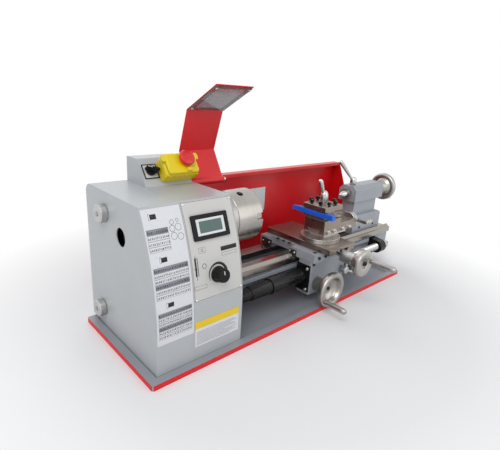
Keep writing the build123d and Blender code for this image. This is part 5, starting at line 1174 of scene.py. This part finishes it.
# %% Wheel finishes
WHEEL_AXIS, CROSS_AXIS, TOP_AXIS = (56, 0, 49), (94, 0, 118), (0, -54, 162)
MARK_DARK = (0.03, 0.03, 0.03)
wheel_metal = finish(
    "wheel_aluminium", (0.43, 0.405, 0.38), 0.32, 1.0, 0.14, 520, 0.0015, rings(1, WHEEL_AXIS),
    smudge=0.05, rub=0.4,
)
cross_metal = finish(
    "cross_dial_aluminium", (0.46, 0.44, 0.42), 0.32, 1.0, 0.12, 520, 0.0015,
    rings(1, CROSS_AXIS), smudge=0.05, rub=0.4,
    over=[(dial_marks(1, CROSS_AXIS, 80, (-167.0, -163.6)), MARK_DARK, 0.6, 0.2)],
)
top_metal = finish(
    "top_dial_aluminium", (0.50, 0.49, 0.47), 0.30, 1.0, 0.10, 520, 0.0015,
    rings(0, TOP_AXIS), smudge=0.05, rub=0.4,
    over=[(dial_marks(0, TOP_AXIS, 60, (207.0, 213.0)), MARK_DARK, 0.6, 0.2)],
)
tail_metal = finish(
    "tail_wheel_aluminium", (0.42, 0.405, 0.38), 0.32, 1.0, 0.14, 520, 0.0015,
    rings(0, SPINDLE_AXIS), smudge=0.05, rub=0.4,
)
GRIP_LENGTH = 57.7
GRIP_PROFILE = np.array([
    (0.3, 0), (0.3, 4.6), (1.2, 5.2), (3, 5.0), (24, 6.2), (46, 6.5), (53, 6.4), (56, 5.2),
    (57.6, 3.2), (57.6, 1.4), (56.8, 1.2), (56.8, 0),
])


def grip(length, scale=1.0, start=0.0):
    """Grip profile: distances times length / full length plus the start, radii times the scale."""
    return GRIP_PROFILE * (length / GRIP_LENGTH, scale) + (start, 0)


# %% Carriage handwheel
WHEEL_PROFILE = [
    (74, 0), (74, 6), (92.3, 6), (92.3, 14.2), (93, 15), (107, 15), (109.5, 16.2), (122, 31.5),
    (126.4, 37.8), (127.9, 39.1), (129.6, 39.5), (136.6, 39.5), (139, 38.7), (140, 37.2),
    (140, 29.6), (139, 28.4), (130.5, 27.4), (127, 25.6), (121.4, 16), (121, 12.5), (122.6, 11),
    (124.4, 10.4), (125, 9.4), (125, 0),
]
carriage_wheel = turned(WHEEL_PROFILE, WHEEL_AXIS, TO_FRONT, 96)
build(
    "carriage_handwheel_piece", "carriage_wheel", wheel_metal, carriage_wheel,
    ("carriage_handwheel",), sharp=50,
)
wheel_screw = cap_screws([(56, -125, 49)], TO_FRONT, 4.2, 2.6)
build("carriage_wheel_screw", "carriage_wheel", black_oxide, wheel_screw, edge=0.2)
carriage_grip = turned(grip(54), (29, -140, 30), TO_FRONT, 48)
build(
    "carriage_grip_piece", "carriage_grip", plain_steel, carriage_grip,
    ("carriage_grip",), sharp=50,
)

# %% Cross slide dial
CROSS_PROFILE = [
    (83, 0), (83, 4), (160.3, 4), (160.3, 17.3), (161, 18), (167.6, 18), (168.3, 17.3), (168.3, 26),
    (169, 27.6), (170.6, 28.5), (181.6, 28.5), (183.6, 27.6), (184.3, 25.8), (184, 11), (183.2, 10),
    (181.4, 9.6), (181.4, 0),
]
pin = turned([(180, 0), (180, 3), (226, 3), (226, 0)], (116, 0, 118), TO_FRONT, 24)
cross_wheel = together(turned(CROSS_PROFILE, CROSS_AXIS, TO_FRONT, 96), pin)
build(
    "cross_dial_piece", "cross_dial", cross_metal, cross_wheel, ("cross_dial",),
    sharp=50,
)
dial_screw = cap_screws([(94, -181.4, 118)], TO_FRONT, 5.2, 3.4)
build("cross_dial_screw", "cross_dial", black_oxide, dial_screw, edge=0.2)
cross_grip = turned(grip(GRIP_LENGTH), (116, -184.3, 118), TO_FRONT, 48)
build(
    "cross_grip_piece", "cross_grip", plain_steel, cross_grip, ("cross_grip",),
    sharp=50,
)
SLEEVE_PROFILE = [
    (124.3, 6), (124.3, 8.4), (126, 13.2), (127, 13.8), (152, 13.8), (153, 14.6), (159.4, 14.6),
    (160, 14), (160, 4.1), (126, 4.1),
]
sleeve = turned(SLEEVE_PROFILE, CROSS_AXIS, TO_FRONT, 72)
build(
    "cross_screw_sleeve", "carriage", cast_aluminium, sleeve, ("cross_screw_bracket",),
)

# %% [markdown]
# ## Slides
#
# The cross slide is one wide ground plate. The swivel base turns on it and carries the top slide,
# whose front shows the screws that set its gib. All of it is bare steel with straight grinding
# lines and edges worn bright.

# %% Slides
SWIVEL_AXIS = (94, -60, 0)
swivel_steel = finish(
    "swivel_steel", (0.54, 0.52, 0.49), 0.34, 1.0, 0.08, 1200, 0.0012,
    rings(2, SWIVEL_AXIS), rub=0.5,
    over=[(dial_marks(2, SWIVEL_AXIS, 90, (143.0, 147.6), 0.14), MARK_DARK, 0.6, 0.2)],
)
dressed("cross_slide", ground_steel, 0.7)
dressed("swivel_base", swivel_steel, 0.5)
dressed("top_slide", ground_steel, 0.8)
gib_spots = [(x, -79, 158) for x in (96, 118, 150, 176)]
nut_profile = [
    (0, 0), (0, 4.2), (3.2, 4.2), (3.8, 3.6), (3.8, 2.4), (6.2, 2.4), (6.6, 2.0), (6.6, 0),
]
nut_factor = np.ones((len(nut_profile), 48))
nut_factor[1:3] = flats(6, 48)
cross_gib_spots = [(139, y, 131) for y in (-95, -55, -15, 25)]
for name, body, direction, spots in (
    ("gib_screws", "top_slide", TO_FRONT, gib_spots),
    ("cross_gib_screws", "cross_slide", TO_RIGHT, cross_gib_spots),
):
    gib_nut = turned(nut_profile, (0, 0, 0), direction, 48, nut_factor)
    build(name, body, bright_steel, repeated(*gib_nut, spots), edge=0.15)

# %% Top slide dial and crank
TOP_DIAL_PROFILE = [
    (197, 0), (197, 4), (206.3, 4), (206.3, 19.2), (207, 20), (220, 20), (222, 18), (222, 7),
    (229.4, 7), (230, 6.4), (230, 0),
]
dial = turned(TOP_DIAL_PROFILE, TOP_AXIS, TO_RIGHT, 96)
arm_levels = [(224, 1, 1), (225, 1.01, 1.05), (229, 1.01, 1.05), (230, 1, 1)]
arm = stacked(rounded_box(48, 8, 3.9, 8), arm_levels, (0, -73, 162), TO_BACK, UPRIGHT, TO_RIGHT)
crank = turned(grip(28, 0.77, 224), (0, -92, 162), TO_RIGHT, 40)
top_dial = together(dial, arm, crank)
build("top_dial_piece", "top_dial", top_metal, top_dial, ("top_dial",), 0.3, sharp=50)

# %% [markdown]
# ## Toolpost
#
# Four tools can be clamped round the square post. Each slot has two square-head screws, made by
# turning a profile whose head rows use the four-flat factor. The lever on top locks the post.

# %% Toolpost and tool
dressed("toolpost", post_steel, 0.7)
screw_profile = [(0, 0), (0, 3.1), (2.6, 3.1), (3, 3.4), (9.2, 3.4), (10, 2.9), (10, 0)]
screw_factor = np.ones((len(screw_profile), 24))
screw_factor[3:5] = np.roll(flats(4, 24), 3)
square_screw = turned(screw_profile, (0, 0, 0), UPRIGHT, 24, screw_factor)
POST_X, POST_Y, POST_TOP, SCREW_REACH = 119, -40, 213, 26
screw_spots = []
for side in range(4):
    angle = math.radians(90 * side)
    for aside in (-12, 12):
        x = POST_X + SCREW_REACH * math.cos(angle) - aside * math.sin(angle)
        y = POST_Y + SCREW_REACH * math.sin(angle) + aside * math.cos(angle)
        screw_spots.append((x, y, POST_TOP))
build(
    "toolpost_screws_piece", "toolpost", black_oxide,
    repeated(*square_screw, screw_spots), ("toolpost_screws",), 0.25,
)
dressed("tool_bit", tool_paint, 0.9)
hub_profile = [
    (216.3, 0), (216.3, 8.2), (218, 9), (230, 9.4), (236, 8.6), (240, 6.6), (242.4, 3.6), (243, 0),
]
hub = turned(hub_profile, (POST_X, POST_Y, 0), UPRIGHT, 48)
arm_profile = [(0, 0), (0, 3.6), (12, 3.6), (24, 4.4), (38, 5.2), (42, 5.0), (44.4, 3.6), (45, 0)]
arm = turned(arm_profile, (POST_X, POST_Y, 229), (-18, 0, 36), 32)
build(
    "toolpost_lever_piece", "toolpost_lever", bright_steel, together(hub, arm),
    ("toolpost_lever",), sharp=50,
)

# %% [markdown]
# ## Half-nut lever
#
# The small lever on the apron closes the nut on the leadscrew. It is cast with a round boss and
# two rounded arms, so each arm is a turned spindle shape pointing away from the boss.

# %% Half-nut lever
BOSS_PROFILE = [
    (81, 0), (81, 5), (92.3, 5), (92.3, 8.4), (93, 9), (106, 9), (107.6, 8), (108, 6), (108, 0),
]
LONG_PROFILE = [(4, 0), (4, 3.2), (20, 3), (28, 3.6), (33, 4.3), (36, 3.6), (37.6, 1.6), (37.8, 0)]
SHORT_PROFILE = [(4, 0), (4, 3.2), (16, 3), (20, 3.5), (23, 3.2), (24.8, 1.4), (25, 0)]
ARMS_START = (149, -104.4, 60)
halfnut_lever = together(
    turned(BOSS_PROFILE, (149, 0, 60), TO_FRONT, 48),
    turned(LONG_PROFILE, ARMS_START, (0.927, 0, -0.375), 32),
    turned(SHORT_PROFILE, ARMS_START, UPRIGHT, 32),
)
build(
    "halfnut_lever_piece", "halfnut_lever", cast_aluminium, halfnut_lever,
    ("halfnut_lever",), sharp=50,
)

# %% [markdown]
# ## Tailstock
#
# The tailstock casting stands on the inner ways. Its barrel holds a steel quill with a pointed
# centre, moved by the dished handwheel and locked by the bright lever.

# %% Tailstock
dressed("tailstock", casting_paint, 1.3)
dressed("quill", plain_steel, 0.6)
CENTRE_PROFILE = [(236, 0), (236.4, 0.5), (250, 8), (292, 8), (292, 0)]
centre = turned(CENTRE_PROFILE, SPINDLE_AXIS, TO_RIGHT, 64)
build("centre_piece", "quill", bright_steel, centre, ("centre",), 0.2)
TAIL_PROFILE = [
    (345, 0), (345, 6), (405.3, 6), (405.3, 18.4), (406, 19), (413.4, 19), (414, 18.4), (414, 14),
    (428, 14), (431, 15.6), (440, 18.6), (445.6, 24.4), (443.4, 26.8), (442, 29.6), (442.2, 34),
    (443.8, 37.2), (446.8, 38.4), (451.4, 38.4), (453.4, 37.6), (454, 35.6), (453.6, 32.4),
    (449.4, 29.6), (446, 27), (436, 13.4), (435.4, 11), (437.4, 10.2), (438, 9), (438, 0),
]
tail_grip = turned(grip(34.6, 0.69, 451), (0, -8, 176), TO_RIGHT, 40)
tail_wheel = together(turned(TAIL_PROFILE, SPINDLE_AXIS, TO_RIGHT, 96), tail_grip)
build(
    "tail_handwheel_piece", "tail_wheel", tail_metal, tail_wheel,
    ("tail_handwheel",), sharp=50,
)
TAIL_LEVER_X = 292
hub_profile = [(231.3, 0), (231.3, 7.4), (232, 8), (243, 8.2), (248, 7.2), (251, 4.8), (252, 0)]
hub = turned(hub_profile, (TAIL_LEVER_X, 0, 0), UPRIGHT, 48)
arm_profile = [
    (0, 0), (0, 3.2), (18, 3.2), (30, 4.0), (60, 4.9), (82, 5.2), (86, 4.6), (88.4, 2.6), (89, 0),
]
arm = turned(arm_profile, (TAIL_LEVER_X, 0, 240), (-66, 0, 56), 32)
tail_lever = together(hub, arm)
build(
    "tail_lever_piece", "tail_lever", bright_steel, tail_lever, ("tail_lever",),
    sharp=50,
)
base_screws = cap_screws([(300, -32, 120), (366, -32, 120)], TO_FRONT, 3.2, 1.6)
build("tailstock_screws", "tailstock", black_oxide, base_screws, edge=0.2)

# %% [markdown]
# ## Floor, light and the last word
#
# A pale floor takes the shadow. Close to the lathe it is an ordinary surface; further out it
# fades into plain white, so that no horizon shows. Large soft lamps stand above and in front, as
# in a product studio.

# %% Floor
FLOOR_RADIUS, FLOOR_CORNERS = 6, 96
FADE_FROM, FADE_TO = 0.42, 0.72


def pale_floor():
    """White floor whose own light takes over with distance from the middle."""
    material = bpy.data.materials.new("pale_floor")
    material.use_nodes = True
    tree = material.node_tree
    shader = tree.nodes["Principled BSDF"]
    shader.inputs["Base Color"].default_value = (0.97, 0.97, 0.975, 1)
    shader.inputs["Roughness"].default_value = 0.9
    place = add(tree, "TexCoord", {}).outputs["Object"]
    distance = add(tree, "VectorMath", {0: place}, operation="LENGTH").outputs["Value"]
    grain = noise(tree, place, 300.0)
    bump = add(tree, "Bump", {"Height": grain, "Strength": 0.05, "Distance": 0.2 * MM})
    tree.links.new(bump.outputs[0], shader.inputs["Normal"])
    glow = add(tree, "Emission", {"Color": (1, 1, 1, 1), "Strength": 1.0})
    fade = remap(tree, distance, FADE_FROM, FADE_TO)
    share = maths(tree, "MULTIPLY", background_rays(tree), fade)
    both = add(tree, "MixShader", {0: share, 1: shader.outputs[0], 2: glow.outputs[0]})
    tree.links.new(both.outputs[0], tree.nodes["Material Output"].inputs[0])
    return material


turn = np.arange(FLOOR_CORNERS) * TURN / FLOOR_CORNERS
circle = np.column_stack((np.cos(turn), np.sin(turn), np.zeros(FLOOR_CORNERS)))
floor_points = FLOOR_RADIUS * circle
floor_mesh = bpy.data.meshes.new("floor")
floor_mesh.from_pydata(floor_points.tolist(), [], [list(range(FLOOR_CORNERS))])
floor_mesh.materials.append(pale_floor())
floor = bpy.data.objects.new("floor", floor_mesh)
bpy.context.scene.collection.objects.link(floor)

# %% Light
def lamp(name, place, aim, size, power):
    """Square soft lamp at a place, turned towards a point."""
    light = bpy.data.lights.new(name, "AREA")
    light.shape, light.size, light.energy = "SQUARE", size, power
    holder = bpy.data.objects.new(name, light)
    holder.location = place
    holder.rotation_euler = (Vector(aim) - Vector(place)).to_track_quat("-Z", "Y").to_euler()
    bpy.context.scene.collection.objects.link(holder)


lamp("key_lamp", (-1.3, -0.9, 1.9), (0, 0, 0.15), 1.4, 20)
lamp("fill_lamp", (0.9, -1.8, 1.0), (0, 0, 0.15), 1.6, 7)
lamp("back_lamp", (0.5, 1.6, 1.7), (0, 0, 0.2), 1.4, 8)

world = bpy.data.worlds.new("studio")
bpy.context.scene.world = world
world.use_nodes = True
sky = world.node_tree
soft = add(sky, "Background", {"Color": (0.95, 0.97, 1.0, 1), "Strength": 0.45})
white = add(sky, "Background", {"Color": (1, 1, 1, 1), "Strength": 1.0})
both = add(sky, "MixShader", {0: background_rays(sky), 1: soft.outputs[0], 2: white.outputs[0]})
sky.links.new(both.outputs[0], sky.nodes["World Output"].inputs[0])
bpy.context.scene.view_settings.view_transform = "Standard"
